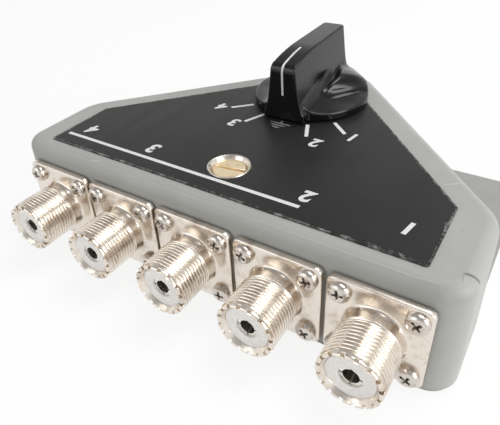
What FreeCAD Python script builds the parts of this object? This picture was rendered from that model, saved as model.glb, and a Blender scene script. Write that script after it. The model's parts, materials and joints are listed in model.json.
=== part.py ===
import FreeCAD, Part
import math
import os
from FreeCAD import Vector

# Coaxial antenna switch: five panel sockets in a row, a rotary selector and a screw-in surge plug.
# Millimetres. X runs along the row of sockets, Y from the sockets to the rounded back, Z up.
# The origin is on the selector shaft's axis, at the underside of the base plate.

# Base plate
BASE_THICK = 1.2
BASE_SIDE_GAP = 0.8
BASE_FRONT_GAP = 0.6
BASE_CORNER_R = 6.5
MOUNT_HOLE_FROM_SIDE = 4.2
MOUNT_HOLE_FROM_BACK = 4.9
MOUNT_HOLE_SPACING = 42.5
MOUNT_HOLE_R = 2.1

# Cast housing
SHAFT_TO_FACE = 71.0
SHAFT_TO_BACK = 29.4
HALF_WIDTH = 72.0
SIDE_LENGTH = 32.0
BACK_HALF_WIDTH = 10.5
HOUSING_HEIGHT = 32.2
DRAFT_INSET = 0.6
FRONT_CORNER_R = 7.5
SIDE_CORNER_R = 14.0
BACK_CORNER_R = 14.0
TOP_EDGE_R = 3.5
WALL = 2.6
DECK_THICK = 2.4
INNER_CORNER_R = 4.0
BOSS_R = 3.6
BOSS_WALL_OVERLAP = 0.6
FRONT_BOSS_FROM_FACE = 11.0
SLANT_BOSS_SHARE = 0.4
COVER_SCREW_R = 1.45
COVER_HEAD_R = 2.6
COVER_SCREW_LENGTH = 9.0
THREAD_CLEARANCE = 0.05
HOLE_CLEARANCE = 0.15

# Panel sockets
SOCKET_COUNT = 5
SOCKET_PITCH = 26.5
SOCKET_AXIS_Z = 14.8
FLANGE_SIZE = 25.4
FLANGE_THICK = 1.6
FLANGE_CORNER_R = 2.0
FLANGE_HOLE_PITCH = 18.26
FLANGE_HOLE_R = 1.65
BARREL_LENGTH = 15.3
THREAD_R = 7.94
THREAD_PITCH = 1.058
THREAD_DEPTH = 0.55
THREAD_CREST = 0.26
NECK_R = 7.5
NECK_LENGTH = 3.1
RIM_CHAMFER = 0.35
RIM_BORE_R = 7.0
RIM_BEVEL_DEPTH = 1.3
TOOTH_COUNT = 16
TOOTH_GAP = 0.95
TOOTH_DEPTH = 0.9
TOOTH_INNER_R = 6.85
REAR_BOSS_LENGTH = 4.6
REAR_BOSS_R = 7.3
INSULATOR_R = 6.0
INSULATOR_REAR = 8.0
FIT = 0.02
CONTACT_R = 2.9
CONTACT_BORE_R = 2.0
CONTACT_BORE_DEPTH = 9.5
CONTACT_RECESS = 0.45
CONTACT_SLIT = 0.4
CONTACT_SLIT_DEPTH = 7.0
CONTACT_STEM_R = 1.5
CUP_R = 2.4
CUP_BORE_R = 1.5
CUP_LENGTH = 6.0
CUP_BORE_DEPTH = 4.5
CUP_SCOOP_DEPTH = 3.4

# Socket screws
SCREW_HEAD_R = 2.85
SCREW_HEAD_HEIGHT = 1.9
SCREW_HEAD_EDGE = 0.6
SCREW_CROWN_R = 1.75
SCREW_HEAD_BULGE = 0.28
SCREW_R = 1.45
SCREW_LENGTH = 5.4
SCREW_TURN_STEP = 37.0
SOCKET_SCREW_TURN = 29.0
RECESS_WIDTH = 0.75
RECESS_SPAN = 3.1
RECESS_FOOT_SHARE = 0.35
RECESS_DEPTH = 1.25

# Printed label plate
LABEL_THICK = 0.5
LABEL_FRONT_MARGIN = 5.3
LABEL_HALF_WIDTH = 60.9
LABEL_SLANT_MARGIN = 9.8
LABEL_BACK_MARGIN = 7.5
LABEL_CORNER_R = 1.0
LABEL_GAP = 0.15

# Selector shaft, bushing and index mechanism
POSITION_STEP = 24.0
POSITION_SIDE_COUNT = 2
SHAFT_R = 3.175
SHAFT_RUN_GAP = 0.05
SHAFT_TOP_Z = 46.4
SHAFT_FLAT = 0.8
BUSHING_R = 4.76
BUSHING_FLANGE_R = 7.6
BUSHING_FLANGE_THICK = 2.0
BUSHING_ABOVE_DECK = 4.4
BUSHING_THREAD_PITCH = 0.794
BUSHING_THREAD_DEPTH = 0.35
BUSHING_THREAD_CREST = 0.2
WASHER_R = 7.2
WASHER_THICK = 0.6
WASHER_NOTCH_COUNT = 8
WASHER_NOTCH_DEPTH = 1.3
WASHER_NOTCH_WIDTH = 1.2
NUT_ACROSS_FLATS = 12.7
NUT_THICK = 2.2
RING_R = 5.2
RING_GROOVE_R = 2.6
RING_THICK = 0.6
RING_GAP = 0.1
FRAME_THICK = 1.2
FRAME_HALF_WIDTH = 23.0
FRAME_FRONT = 15.0
FRAME_SHOULDER_Y = 5.0
FRAME_EDGE = 0.3
FRAME_CORNER_R = 1.5
DETENT_R = 13.0
DETENT_THICK = 3.0
DETENT_NOTCH_R = 1.5
DETENT_NOTCH_OUT = 0.3
SPRING_THICK = 0.4
SPRING_HEIGHT = 3.4
SPRING_GAP = 0.15
SPRING_OVERHANG = 1.2
SPRING_STANDOFF = 1.1
LUG_X = 16.0
LUG_THICK = 1.2
LUG_DEPTH = 4.4
LUG_BELOW_SPRING = 0.8
STOP_PIN_R = 1.2
STOP_PIN_CIRCLE_R = 10.5
STOP_GAP = 0.15
PIN_TOP_GAP = 0.2

# Rotor and stator
BOARD_THICK = 1.6
BOARD_HALF_WIDTH = 25.0
BOARD_FRONT = 29.0
BOARD_BACK = 9.0
BOARD_CHAMFER = 6.0
CONTACT_CIRCLE_R = 20.0
STRIP_THICK = 1.0
STRIP_WIDTH = 5.0
STRIP_END_GAP = 0.3
TONGUE_WIDTH = 2.0
TONGUE_LENGTH = 3.2
RIVET_R = 1.0
RIVET_HEAD_R = 1.6
RIVET_HEAD = 0.5
RIVET_FROM_CONTACT = 5.0
WIPER_LIFT = 0.15
WIPER_BUTTON = 0.1
WIPER_BUTTON_R = 1.6
WIPER_THICK = 1.0
WIPER_WIDTH = 5.0
WIPER_TAIL = 7.0
HUB_R = 7.0
HUB_FLOOR = 1.2
HUB_GAP = 0.2
HUB_RIVET_Y = 4.3
HUB_RIVET_LENGTH = 3.6
SPACER_X = 19.5
SPACER_R = 3.0
SPACER_SCREW_R = 1.45
SPACER_HEAD_R = 2.7
SPACER_HEAD_HEIGHT = 1.8
COM_BAR_DROP = 3.7
COM_BAR_WIDTH = 4.6
COM_END_R = 3.3
COM_PAD_WIDTH = 9.0
COM_PAD_BACK = 6.6
STUD_HEAD_R = 3.0
STUD_R = 1.5
STUD_COLLAR_R = 2.4
STUD_TAIL = 0.7
GROUND_POST_X = 6.2
GROUND_POST_Y = -34.0
GROUND_POST_R = 3.4
GROUND_SCREW_LENGTH = 7.0
GROUND_HOLE_DEPTH = 8.5

# Surge plug
PLUG_Y = -52.6
PLUG_THREAD_R = 5.5
PLUG_THREAD_PITCH = 1.27
PLUG_THREAD_DEPTH = 0.5
PLUG_THREAD_CREST = 0.3
PLUG_RUN_GAP = 0.08
PLUG_LENGTH = 8.5
PLUG_TOP_BELOW_SLEEVE = 0.9
PLUG_TOP_BEVEL = 0.35
PLUG_SLOT_WIDTH = 1.0
PLUG_SLOT_DEPTH = 1.5
PLUG_SLOT_TURN = 10.0
SLEEVE_R = 6.3
SLEEVE_FLANGE_R = 6.9
SLEEVE_ABOVE_LABEL = 0.3
SLEEVE_FLANGE_THICK = 0.8
SLEEVE_LENGTH = 9.6
SLEEVE_BEVEL = 0.5
SLEEVE_NUT_AF = 17.0
SLEEVE_NUT_THICK = 2.4
TUBE_R = 4.0
TUBE_BODY_R = 3.75
TUBE_LENGTH = 9.8
TUBE_CAP_THICK = 1.2
TUBE_SOCKET_DEPTH = 2.5
TUBE_SOCKET_GAP = 0.1
CONE_GAP = 0.1
CONE_TOP_R = 1.6
CONE_BASE_R = 3.6
CONE_THICK = 0.4

# Selector knob
KNOB_R = 19.7
KNOB_HEIGHT = 22.0
KNOB_GAP = 0.45
KNOB_FRONT_DROP = 0.6
DOME_PAST_RIM = 0.6
DOME_SEMI_HEIGHT = 7.5
DOME_BASE = 2.8
SCOOP_FLOOR = 2.75
SCOOP_R = 9.5
SCOOP_OFFSET = 19.0
SCOOP_TURN = 59.0
GROOVE_R = 4.0
GROOVE_X = 9.2
GROOVE_FLOOR = 7.4
BLADE_FOOT = 3.6
BLADE_FRONT_TOP = 21.4
BLADE_FRONT_FOOT = 20.6
BLADE_WAIST_TOP_Y = 12.4
BLADE_WAIST_FOOT_Y = 11.4
BLADE_BACK_TOP = 15.3
BLADE_BACK_FOOT = 16.6
BLADE_FRONT_HALF_TOP = 3.95
BLADE_FRONT_HALF_FOOT = 6.9
BLADE_WAIST_HALF_TOP = 3.95
BLADE_WAIST_HALF_FOOT = 5.7
BLADE_BACK_HALF_TOP = 4.5
BLADE_BACK_HALF_FOOT = 8.0
BLADE_EDGE_R = 0.7
KNOB_CAVITY_R = 8.2
KNOB_CAVITY_HEIGHT = 5.4
INSERT_R = 4.5
INSERT_LENGTH = 5.4
SET_SCREW_R = 1.6
SET_SCREW_LENGTH = 5.0
SET_SCREW_HEX = 1.6
SET_SCREW_HEX_DEPTH = 1.6

# Heights worked out from the sizes above
HOUSING_TOP = BASE_THICK + HOUSING_HEIGHT
CEILING = HOUSING_TOP - DECK_THICK
LABEL_TOP = HOUSING_TOP + LABEL_THICK
FRAME_BOTTOM = CEILING - FRAME_THICK
BUSHING_FLANGE_BOTTOM = FRAME_BOTTOM - BUSHING_FLANGE_THICK
DETENT_TOP = BUSHING_FLANGE_BOTTOM - RING_GAP
DETENT_BOTTOM = DETENT_TOP - DETENT_THICK
BUSHING_TOP = HOUSING_TOP + BUSHING_ABOVE_DECK
STRIP_BOTTOM = SOCKET_AXIS_Z - STRIP_THICK / 2
STRIP_TOP = STRIP_BOTTOM + STRIP_THICK
BOARD_BOTTOM = STRIP_BOTTOM - BOARD_THICK
WIPER_BOTTOM = STRIP_TOP + WIPER_LIFT
HUB_BOTTOM = WIPER_BOTTOM + WIPER_THICK
SHAFT_BOTTOM = HUB_BOTTOM + HUB_FLOOR
COM_BAR_BOTTOM = STRIP_BOTTOM - COM_BAR_DROP
SLEEVE_TOP = LABEL_TOP + SLEEVE_ABOVE_LABEL
PLUG_TOP = SLEEVE_TOP - PLUG_TOP_BELOW_SLEEVE
PLUG_BOTTOM = PLUG_TOP - PLUG_LENGTH
TUBE_TOP = PLUG_BOTTOM + TUBE_SOCKET_DEPTH - TUBE_SOCKET_GAP
TUBE_BOTTOM = TUBE_TOP - TUBE_LENGTH
FLANGE_FACE_Y = -SHAFT_TO_FACE - FLANGE_THICK
CUP_BACK_Y = FLANGE_FACE_Y + INSULATOR_REAR + CUP_LENGTH
KNOB_BOTTOM = LABEL_TOP + KNOB_GAP
CAVITY_TOP = LABEL_TOP + KNOB_CAVITY_HEIGHT
SELECT_LIMIT = POSITION_STEP * POSITION_SIDE_COUNT
SPRING_MID_Z = (DETENT_TOP + DETENT_BOTTOM) / 2

Z_AXIS = Vector(0, 0, 1)


def box(x0, x1, y0, y1, z0, z1):
    return Part.makeBox(x1 - x0, y1 - y0, z1 - z0, Vector(x0, y0, z0))


def rod(radius, z0, z1, x=0, y=0):
    return Part.makeCylinder(radius, z1 - z0, Vector(x, y, z0))


def fuse(shapes):
    result = shapes[0].multiFuse(shapes[1:]) if len(shapes) > 1 else shapes[0]
    return result.removeSplitter()


def cut(shape, cutters):
    return shape.cut(Part.makeCompound(cutters)).removeSplitter()


def turned(points, x=0, y=0):
    """A solid turned about a vertical axis, from (radius, height) points."""
    outline = Part.makePolygon([Vector(r, 0, z) for r, z in points + points[:1]])
    solid = Part.Face(outline).revolve(Vector(0, 0, 0), Z_AXIS, 360)
    solid.translate(Vector(x, y, 0))
    return solid


def polar(radius, angle_from_front):
    """A point on a circle round the shaft. Angle 0 is towards the sockets, positive to the right."""
    a = math.radians(angle_from_front)
    return Vector(radius * math.sin(a), -radius * math.cos(a), 0)


def corner_arcs(corners, radii):
    """For each corner of an outline: the arc's start, middle and end."""
    arcs = []
    for i, corner in enumerate(corners):
        before = (corners[i - 1] - corner).normalize()
        after = (corners[(i + 1) % len(corners)] - corner).normalize()
        half = before.getAngle(after) / 2
        bisector = (before + after).normalize()
        centre = corner + bisector * (radii[i] / math.sin(half))
        reach = radii[i] / math.tan(half)
        arcs.append((corner + before * reach, centre - bisector * radii[i], corner + after * reach))
    return arcs


def rounded_wire(corners, radii, z):
    """A closed outline at height z whose corners are arcs."""
    arcs = corner_arcs([Vector(c.x, c.y, z) for c in corners], radii)
    edges = []
    for i, (start, middle, end) in enumerate(arcs):
        edges.append(Part.Arc(start, middle, end).toShape())
        edges.append(Part.LineSegment(end, arcs[(i + 1) % len(arcs)][0]).toShape())
    return Part.Wire(edges)


def offset_outline(corners, distances):
    """Moves each side of a counter-clockwise outline inwards. Side i runs from corner i to the next."""
    lines = []
    for i, corner in enumerate(corners):
        along = (corners[(i + 1) % len(corners)] - corner).normalize()
        inward = Vector(-along.y, along.x, 0)
        lines.append((corner + inward * distances[i], along))
    moved = []
    for i in range(len(lines)):
        (p, u), (q, v) = lines[i - 1], lines[i]
        gap = q - p
        t = (gap.x * v.y - gap.y * v.x) / (u.x * v.y - u.y * v.x)
        moved.append(p + u * t)
    return moved


def plate(corners, radii, z0, z1):
    return Part.Face(rounded_wire(corners, radii, z0)).extrude(Vector(0, 0, z1 - z0))


def tapered(corners, radii, inset, z0, z1):
    """A rounded block whose outline shrinks by inset from z0 to z1."""
    top = offset_outline(corners, [inset] * len(corners))
    wires = [rounded_wire(corners, radii, z0), rounded_wire(top, [r - inset for r in radii], z1)]
    return Part.makeLoft(wires, True, True)


def bar(start, end, width, z0, z1):
    """A flat bar with round ends, centred on two points."""
    side = (end - start).normalize().cross(Z_AXIS) * (width / 2)
    low = Vector(0, 0, z0)
    corners = [start + side + low, end + side + low, end - side + low, start - side + low]
    body = Part.Face(Part.makePolygon(corners + corners[:1])).extrude(Vector(0, 0, z1 - z0))
    ends = [rod(width / 2, z0, z1, p.x, p.y) for p in (start, end)]
    return fuse([body] + ends)


def hexagon(across_flats, z0, z1):
    r = across_flats / math.sqrt(3)
    points = [Vector(r * math.cos(math.radians(60 * i)), r * math.sin(math.radians(60 * i)), z0)
              for i in range(7)]
    return Part.Face(Part.makePolygon(points)).extrude(Vector(0, 0, z1 - z0))


def grooved_profile(z0, z1, crest_r, depth, pitch, crest):
    """Outer points of a threaded length drawn as rings: crests, and V grooves between them."""
    count = int((z1 - z0 - crest) / pitch)
    points = []
    for i in range(count):
        z = z0 + i * pitch
        points += [(crest_r, z), (crest_r, z + crest), (crest_r - depth, z + (crest + pitch) / 2)]
    points += [(crest_r, z0 + count * pitch), (crest_r, z1)]
    return points


def cross_recess(top_z, depth):
    """A cross-head driver recess that narrows towards its point."""
    arms = []
    for turn in (0, 90):
        half = RECESS_SPAN / 2
        foot = half * RECESS_FOOT_SHARE
        w = RECESS_WIDTH / 2
        upper = [Vector(x, y, top_z) for x, y in ((-half, -w), (half, -w), (half, w), (-half, w))]
        lower = [Vector(math.copysign(foot, p.x), p.y, top_z - depth) for p in upper]
        wires = [Part.makePolygon(ring + ring[:1]) for ring in (lower, upper)]
        arm = Part.makeLoft(wires, True, True)
        arm.rotate(Vector(0, 0, 0), Z_AXIS, turn)
        arms.append(arm)
    return arms[0].fuse(arms[1])


def pan_screw(shank_length, turn):
    """A cross-head pan screw, head up, with the underside of its head at height zero."""
    edge_top = Vector(SCREW_HEAD_R, 0, SCREW_HEAD_EDGE)
    crown = Vector(SCREW_CROWN_R, 0, SCREW_HEAD_HEIGHT)
    bulge = Vector(SCREW_HEAD_HEIGHT - SCREW_HEAD_EDGE, 0, SCREW_HEAD_R - SCREW_CROWN_R).normalize()
    middle = (edge_top + crown) / 2 + bulge * SCREW_HEAD_BULGE
    lines = [crown, Vector(0, 0, SCREW_HEAD_HEIGHT), Vector(0, 0, -shank_length),
             Vector(SCREW_R, 0, -shank_length), Vector(SCREW_R, 0, 0), Vector(SCREW_HEAD_R, 0, 0), edge_top]
    edges = [Part.LineSegment(a, b).toShape() for a, b in zip(lines, lines[1:])]
    edges.append(Part.Arc(edge_top, middle, crown).toShape())
    screw = Part.Face(Part.Wire(edges)).revolve(Vector(0, 0, 0), Z_AXIS, 360)
    screw = screw.cut(cross_recess(SCREW_HEAD_HEIGHT, RECESS_DEPTH))
    screw.rotate(Vector(0, 0, 0), Z_AXIS, turn)
    return screw


def facing_front(shape, x, y, z):
    """Turns a part modelled along +Z so that it points at -Y, and puts its zero at (x, y, z)."""
    placed = shape.copy()
    placed.rotate(Vector(0, 0, 0), Vector(1, 0, 0), 90)
    placed.translate(Vector(x, y, z))
    return placed


# Housing outline, counter-clockwise from the front left corner, at the housing's foot
FACE_Y = -SHAFT_TO_FACE
SIDE_Y = FACE_Y + SIDE_LENGTH
OUTLINE = [Vector(-HALF_WIDTH, FACE_Y, 0), Vector(HALF_WIDTH, FACE_Y, 0), Vector(HALF_WIDTH, SIDE_Y, 0),
           Vector(BACK_HALF_WIDTH, SHAFT_TO_BACK, 0), Vector(-BACK_HALF_WIDTH, SHAFT_TO_BACK, 0),
           Vector(-HALF_WIDTH, SIDE_Y, 0)]
OUTLINE_RADII = [FRONT_CORNER_R, FRONT_CORNER_R, SIDE_CORNER_R, BACK_CORNER_R, BACK_CORNER_R, SIDE_CORNER_R]

SOCKET_XS = [(i - (SOCKET_COUNT - 1) / 2) * SOCKET_PITCH for i in range(SOCKET_COUNT)]
SOCKET_NAMES = ["port_4", "port_3", "common", "port_2", "port_1"]
PORT_ANGLES = {"port_4": -SELECT_LIMIT, "port_3": -POSITION_STEP,
               "port_2": POSITION_STEP, "port_1": SELECT_LIMIT}


def boss_places():
    """Centres of the posts that take the cover screws, each one backed by a wall."""
    inner = WALL + BOSS_R - BOSS_WALL_OVERLAP
    front_x = HALF_WIDTH - inner
    front = Vector(front_x, FACE_Y + FRONT_BOSS_FROM_FACE, 0)
    slant = OUTLINE[3] - OUTLINE[2]
    on_slant = OUTLINE[2] + slant * SLANT_BOSS_SHARE
    inward = Vector(-slant.y, slant.x, 0).normalize()
    middle = on_slant + inward * inner
    back = Vector(0, SHAFT_TO_BACK - inner, 0)
    return [front, Vector(-front.x, front.y, 0), middle, Vector(-middle.x, middle.y, 0), back]


def flange_holes(x):
    half = FLANGE_HOLE_PITCH / 2
    return [(x + i * half, SOCKET_AXIS_Z + j * half) for j in (-1, 1) for i in (-1, 1)]


def socket_openings():
    """The hole for each socket's rear boss and the tapped holes for its four screws."""
    openings = []
    for x in SOCKET_XS:
        hole = Part.makeCylinder(REAR_BOSS_R + HOLE_CLEARANCE, 3 * WALL)
        openings.append(facing_front(hole, x, FACE_Y + 2 * WALL, SOCKET_AXIS_Z))
        for hx, hz in flange_holes(x):
            tap = Part.makeCylinder(SCREW_R + THREAD_CLEARANCE, 3 * WALL)
            openings.append(facing_front(tap, hx, FACE_Y + 2 * WALL, hz))
    return openings


def make_housing():
    outer = tapered(OUTLINE, OUTLINE_RADII, DRAFT_INSET, BASE_THICK, HOUSING_TOP)
    rim = [e for e in outer.Edges if min(v.Z for v in e.Vertexes) > HOUSING_TOP - TOP_EDGE_R / 2]
    outer = outer.makeFillet(TOP_EDGE_R, rim)
    inner = offset_outline(OUTLINE, [WALL] * len(OUTLINE))
    inner_radii = [max(r - WALL, INNER_CORNER_R) for r in OUTLINE_RADII]
    taper = DRAFT_INSET * (CEILING - BASE_THICK) / HOUSING_HEIGHT
    shell = outer.cut(tapered(inner, inner_radii, taper, BASE_THICK, CEILING))
    posts = [rod(BOSS_R, BASE_THICK, CEILING + DECK_THICK / 2, p.x, p.y) for p in boss_places()]
    posts.append(rod(GROUND_POST_R, STRIP_TOP, CEILING + DECK_THICK / 2, GROUND_POST_X, GROUND_POST_Y))
    shell = fuse([shell] + posts)
    tap_depth = COVER_SCREW_LENGTH + THREAD_PITCH
    holes = [rod(COVER_SCREW_R + THREAD_CLEARANCE, BASE_THICK, BASE_THICK + tap_depth, p.x, p.y)
             for p in boss_places()]
    holes.append(rod(SCREW_R + THREAD_CLEARANCE, STRIP_TOP, STRIP_TOP + GROUND_HOLE_DEPTH,
                     GROUND_POST_X, GROUND_POST_Y))
    holes.append(rod(BUSHING_R + HOLE_CLEARANCE, CEILING, HOUSING_TOP))
    holes.append(rod(SLEEVE_R + HOLE_CLEARANCE, CEILING, HOUSING_TOP, 0, PLUG_Y))
    return cut(shell, holes + socket_openings())


def make_base_plate():
    side_x, front_y, back_y = HALF_WIDTH - BASE_SIDE_GAP, FACE_Y + BASE_FRONT_GAP, SHAFT_TO_BACK
    corners = [Vector(-side_x, front_y, 0), Vector(side_x, front_y, 0), Vector(side_x, back_y, 0),
               Vector(-side_x, back_y, 0)]
    sheet = plate(corners, [BASE_CORNER_R] * 4, 0, BASE_THICK)
    hole_x = side_x - MOUNT_HOLE_FROM_SIDE
    hole_y = back_y - MOUNT_HOLE_FROM_BACK
    holes = [rod(MOUNT_HOLE_R, 0, BASE_THICK, x, y)
             for x in (-hole_x, hole_x) for y in (hole_y - MOUNT_HOLE_SPACING, hole_y)]
    for p in boss_places():
        holes.append(rod(COVER_SCREW_R + HOLE_CLEARANCE, 0, BASE_THICK, p.x, p.y))
        sink = Part.makeCone(COVER_HEAD_R + THREAD_CLEARANCE, COVER_SCREW_R + THREAD_CLEARANCE,
                             COVER_HEAD_R - COVER_SCREW_R, Vector(p.x, p.y, 0))
        holes.append(sink)
    return cut(sheet, holes)


def make_cover_screws():
    screws = []
    for i, p in enumerate(boss_places()):
        cone = COVER_HEAD_R - COVER_SCREW_R
        shape = turned([(0, 0), (COVER_HEAD_R, 0), (COVER_SCREW_R, cone),
                        (COVER_SCREW_R, COVER_SCREW_LENGTH), (0, COVER_SCREW_LENGTH)])
        recess = cross_recess(0, RECESS_DEPTH)
        recess.rotate(Vector(0, 0, 0), Vector(1, 0, 0), 180)
        recess.rotate(Vector(0, 0, 0), Z_AXIS, SCREW_TURN_STEP * i)
        shape = shape.cut(recess)
        shape.translate(p)
        screws.append(shape)
    return Part.makeCompound(screws)


def label_outline():
    """The housing's outline drawn in by the label's margins, with its own width and side length."""
    front_y = FACE_Y + LABEL_FRONT_MARGIN
    slant = OUTLINE[3] - OUTLINE[2]
    inward = Vector(-slant.y, slant.x, 0).normalize()
    on_slant = OUTLINE[2] + inward * LABEL_SLANT_MARGIN
    back_y = SHAFT_TO_BACK - LABEL_BACK_MARGIN
    back_x = on_slant.x + slant.x * (back_y - on_slant.y) / slant.y
    side_y = on_slant.y + slant.y * (LABEL_HALF_WIDTH - on_slant.x) / slant.x
    places = ((LABEL_HALF_WIDTH, front_y), (LABEL_HALF_WIDTH, side_y), (back_x, back_y))
    half = [Vector(x, y, 0) for x, y in places]
    return half + [Vector(-p.x, p.y, 0) for p in reversed(half)]


def make_label():
    sheet = plate(label_outline(), [LABEL_CORNER_R] * 6, HOUSING_TOP, LABEL_TOP)
    holes = [rod(NUT_ACROSS_FLATS / math.sqrt(3) + LABEL_GAP, HOUSING_TOP, LABEL_TOP),
             rod(SLEEVE_FLANGE_R + LABEL_GAP, HOUSING_TOP, LABEL_TOP, 0, PLUG_Y)]
    return cut(sheet, holes)


def make_socket_shell():
    """Flange and threaded barrel, along +Z with the flange's front face at zero."""
    half = FLANGE_SIZE / 2
    square = [Vector(-half, -half, 0), Vector(half, -half, 0), Vector(half, half, 0), Vector(-half, half, 0)]
    flange = plate(square, [FLANGE_CORNER_R] * 4, -FLANGE_THICK, 0)
    thread = grooved_profile(NECK_LENGTH, BARREL_LENGTH - RIM_CHAMFER, THREAD_R, THREAD_DEPTH, THREAD_PITCH,
                             THREAD_CREST)
    rear = -FLANGE_THICK - REAR_BOSS_LENGTH
    outer = [(REAR_BOSS_R, rear), (REAR_BOSS_R, -FLANGE_THICK / 2), (NECK_R, -FLANGE_THICK / 2),
             (NECK_R, NECK_LENGTH)]
    rim = [(THREAD_R - RIM_CHAMFER, BARREL_LENGTH), (RIM_BORE_R, BARREL_LENGTH),
           (INSULATOR_R + FIT, BARREL_LENGTH - RIM_BEVEL_DEPTH), (INSULATOR_R + FIT, rear)]
    barrel = turned(outer + thread + rim)
    bore = rod(INSULATOR_R + FIT, rear, BARREL_LENGTH)
    shell = flange.cut(bore).fuse(barrel).removeSplitter()
    gap = box(TOOTH_INNER_R, THREAD_R + TOOTH_GAP, -TOOTH_GAP / 2, TOOTH_GAP / 2,
              BARREL_LENGTH - TOOTH_DEPTH, BARREL_LENGTH + TOOTH_DEPTH)
    cutters = []
    for i in range(TOOTH_COUNT):
        tooth = gap.copy()
        tooth.rotate(Vector(0, 0, 0), Z_AXIS, (i + 0.5) * 360 / TOOTH_COUNT)
        cutters.append(tooth)
    reach = FLANGE_HOLE_PITCH / 2
    cutters += [rod(FLANGE_HOLE_R, -FLANGE_THICK, 0, i * reach, j * reach) for i in (-1, 1) for j in (-1, 1)]
    return cut(shell, cutters)


def make_insulator():
    front = BARREL_LENGTH - RIM_BEVEL_DEPTH
    step = front - CONTACT_RECESS - CONTACT_BORE_DEPTH - CONTACT_SLIT
    bore, stem_bore = CONTACT_R + FIT, CONTACT_STEM_R + FIT
    return turned([(bore, front), (bore, step), (stem_bore, step), (stem_bore, -INSULATOR_REAR),
                   (INSULATOR_R, -INSULATOR_REAR), (INSULATOR_R, front)])


def make_centre_contact():
    front = BARREL_LENGTH - RIM_BEVEL_DEPTH - CONTACT_RECESS
    step = front - CONTACT_BORE_DEPTH
    cup_end = -INSULATOR_REAR - CUP_LENGTH
    body = turned([(0, step - CONTACT_SLIT), (CONTACT_R, step - CONTACT_SLIT), (CONTACT_R, front),
                   (CONTACT_BORE_R, front), (CONTACT_BORE_R, step), (0, step)])
    stem = rod(CONTACT_STEM_R, -INSULATOR_REAR, step)
    cup = rod(CUP_R, cup_end, -INSULATOR_REAR)
    slit = box(-CONTACT_R, CONTACT_R, -CONTACT_SLIT / 2, CONTACT_SLIT / 2, front - CONTACT_SLIT_DEPTH, front)
    cross = slit.copy()
    cross.rotate(Vector(0, 0, 0), Z_AXIS, 90)
    scoop = box(-CUP_R, CUP_R, STRIP_THICK / 2, CUP_R, cup_end, cup_end + CUP_SCOOP_DEPTH)
    bore = rod(CUP_BORE_R, cup_end, cup_end + CUP_BORE_DEPTH)
    return cut(fuse([body, stem, cup]), [slit, cross, scoop, bore])


def make_socket_screws(x, first_turn):
    screws = []
    for i, (hx, hz) in enumerate(flange_holes(x)):
        screw = pan_screw(SCREW_LENGTH, first_turn + SCREW_TURN_STEP * i)
        screws.append(facing_front(screw, hx, FLANGE_FACE_Y, hz))
    return Part.makeCompound(screws)


def make_shaft():
    shaft = rod(SHAFT_R, SHAFT_BOTTOM, SHAFT_TOP_Z)
    ring_z = BUSHING_TOP + RING_GAP
    ring_end = ring_z + RING_THICK + RING_GAP
    groove = rod(2 * SHAFT_R, ring_z, ring_end).cut(rod(RING_GROOVE_R, ring_z, ring_end))
    flat_y = SHAFT_R - SHAFT_FLAT
    knob_flat = box(-SHAFT_R, SHAFT_R, flat_y, SHAFT_R, CAVITY_TOP, SHAFT_TOP_Z)
    drive_flat = box(-SHAFT_R, SHAFT_R, flat_y, SHAFT_R, SHAFT_BOTTOM, DETENT_TOP)
    return cut(shaft, [groove, knob_flat, drive_flat])


def d_hole(z0, z1):
    """The cutter for a hole that is keyed to the shaft's flat."""
    return rod(SHAFT_R + FIT, z0, z1).cut(
        box(-2 * SHAFT_R, 2 * SHAFT_R, SHAFT_R - SHAFT_FLAT + FIT, 2 * SHAFT_R, z0, z1))


def make_bushing():
    thread = grooved_profile(CEILING, BUSHING_TOP, BUSHING_R, BUSHING_THREAD_DEPTH, BUSHING_THREAD_PITCH,
                             BUSHING_THREAD_CREST)
    bore = SHAFT_R + SHAFT_RUN_GAP
    flange = [(bore, BUSHING_FLANGE_BOTTOM), (BUSHING_FLANGE_R, BUSHING_FLANGE_BOTTOM),
              (BUSHING_FLANGE_R, FRAME_BOTTOM), (BUSHING_R, FRAME_BOTTOM)]
    return turned(flange + thread + [(bore, BUSHING_TOP)])


def make_lock_washer():
    ring = rod(WASHER_R, HOUSING_TOP, HOUSING_TOP + WASHER_THICK)
    cutters = [rod(BUSHING_R + HOLE_CLEARANCE, HOUSING_TOP, HOUSING_TOP + WASHER_THICK)]
    half = WASHER_NOTCH_WIDTH / 2
    for i in range(WASHER_NOTCH_COUNT):
        notch = box(WASHER_R - WASHER_NOTCH_DEPTH, 2 * WASHER_R, -half, half,
                    HOUSING_TOP, HOUSING_TOP + WASHER_THICK)
        notch.rotate(Vector(0, 0, 0), Z_AXIS, i * 360 / WASHER_NOTCH_COUNT)
        cutters.append(notch)
    return cut(ring, cutters)


def make_panel_nut():
    z0 = HOUSING_TOP + WASHER_THICK
    return hexagon(NUT_ACROSS_FLATS, z0, z0 + NUT_THICK).cut(rod(BUSHING_R + FIT, z0, z0 + NUT_THICK))


def make_retaining_ring():
    z0 = BUSHING_TOP + RING_GAP
    ring = rod(RING_R, z0, z0 + RING_THICK)
    mouth = box(-RING_GROOVE_R, RING_GROOVE_R, 0, RING_R, z0, z0 + RING_THICK)
    return cut(ring, [rod(RING_GROOVE_R + FIT, z0, z0 + RING_THICK), mouth])


def arc_slot(radius, width, limit, z0, z1):
    """The cutter for a slot round the shaft, as far as the limit either side of the front."""
    outer = rod(radius + width / 2, z0, z1).cut(rod(radius - width / 2, z0, z1))
    reach = 3 * radius
    foot = Vector(0, 0, z0)
    rim = [polar(reach, angle) + foot for angle in (-limit, 0, limit)]
    wedge = Part.Face(Part.makePolygon([foot] + rim + [foot])).extrude(Vector(0, 0, z1 - z0))
    ends = [rod(width / 2, z0, z1, polar(radius, a).x, polar(radius, a).y) for a in (-limit, limit)]
    return fuse([outer.common(wedge)] + ends)


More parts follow.
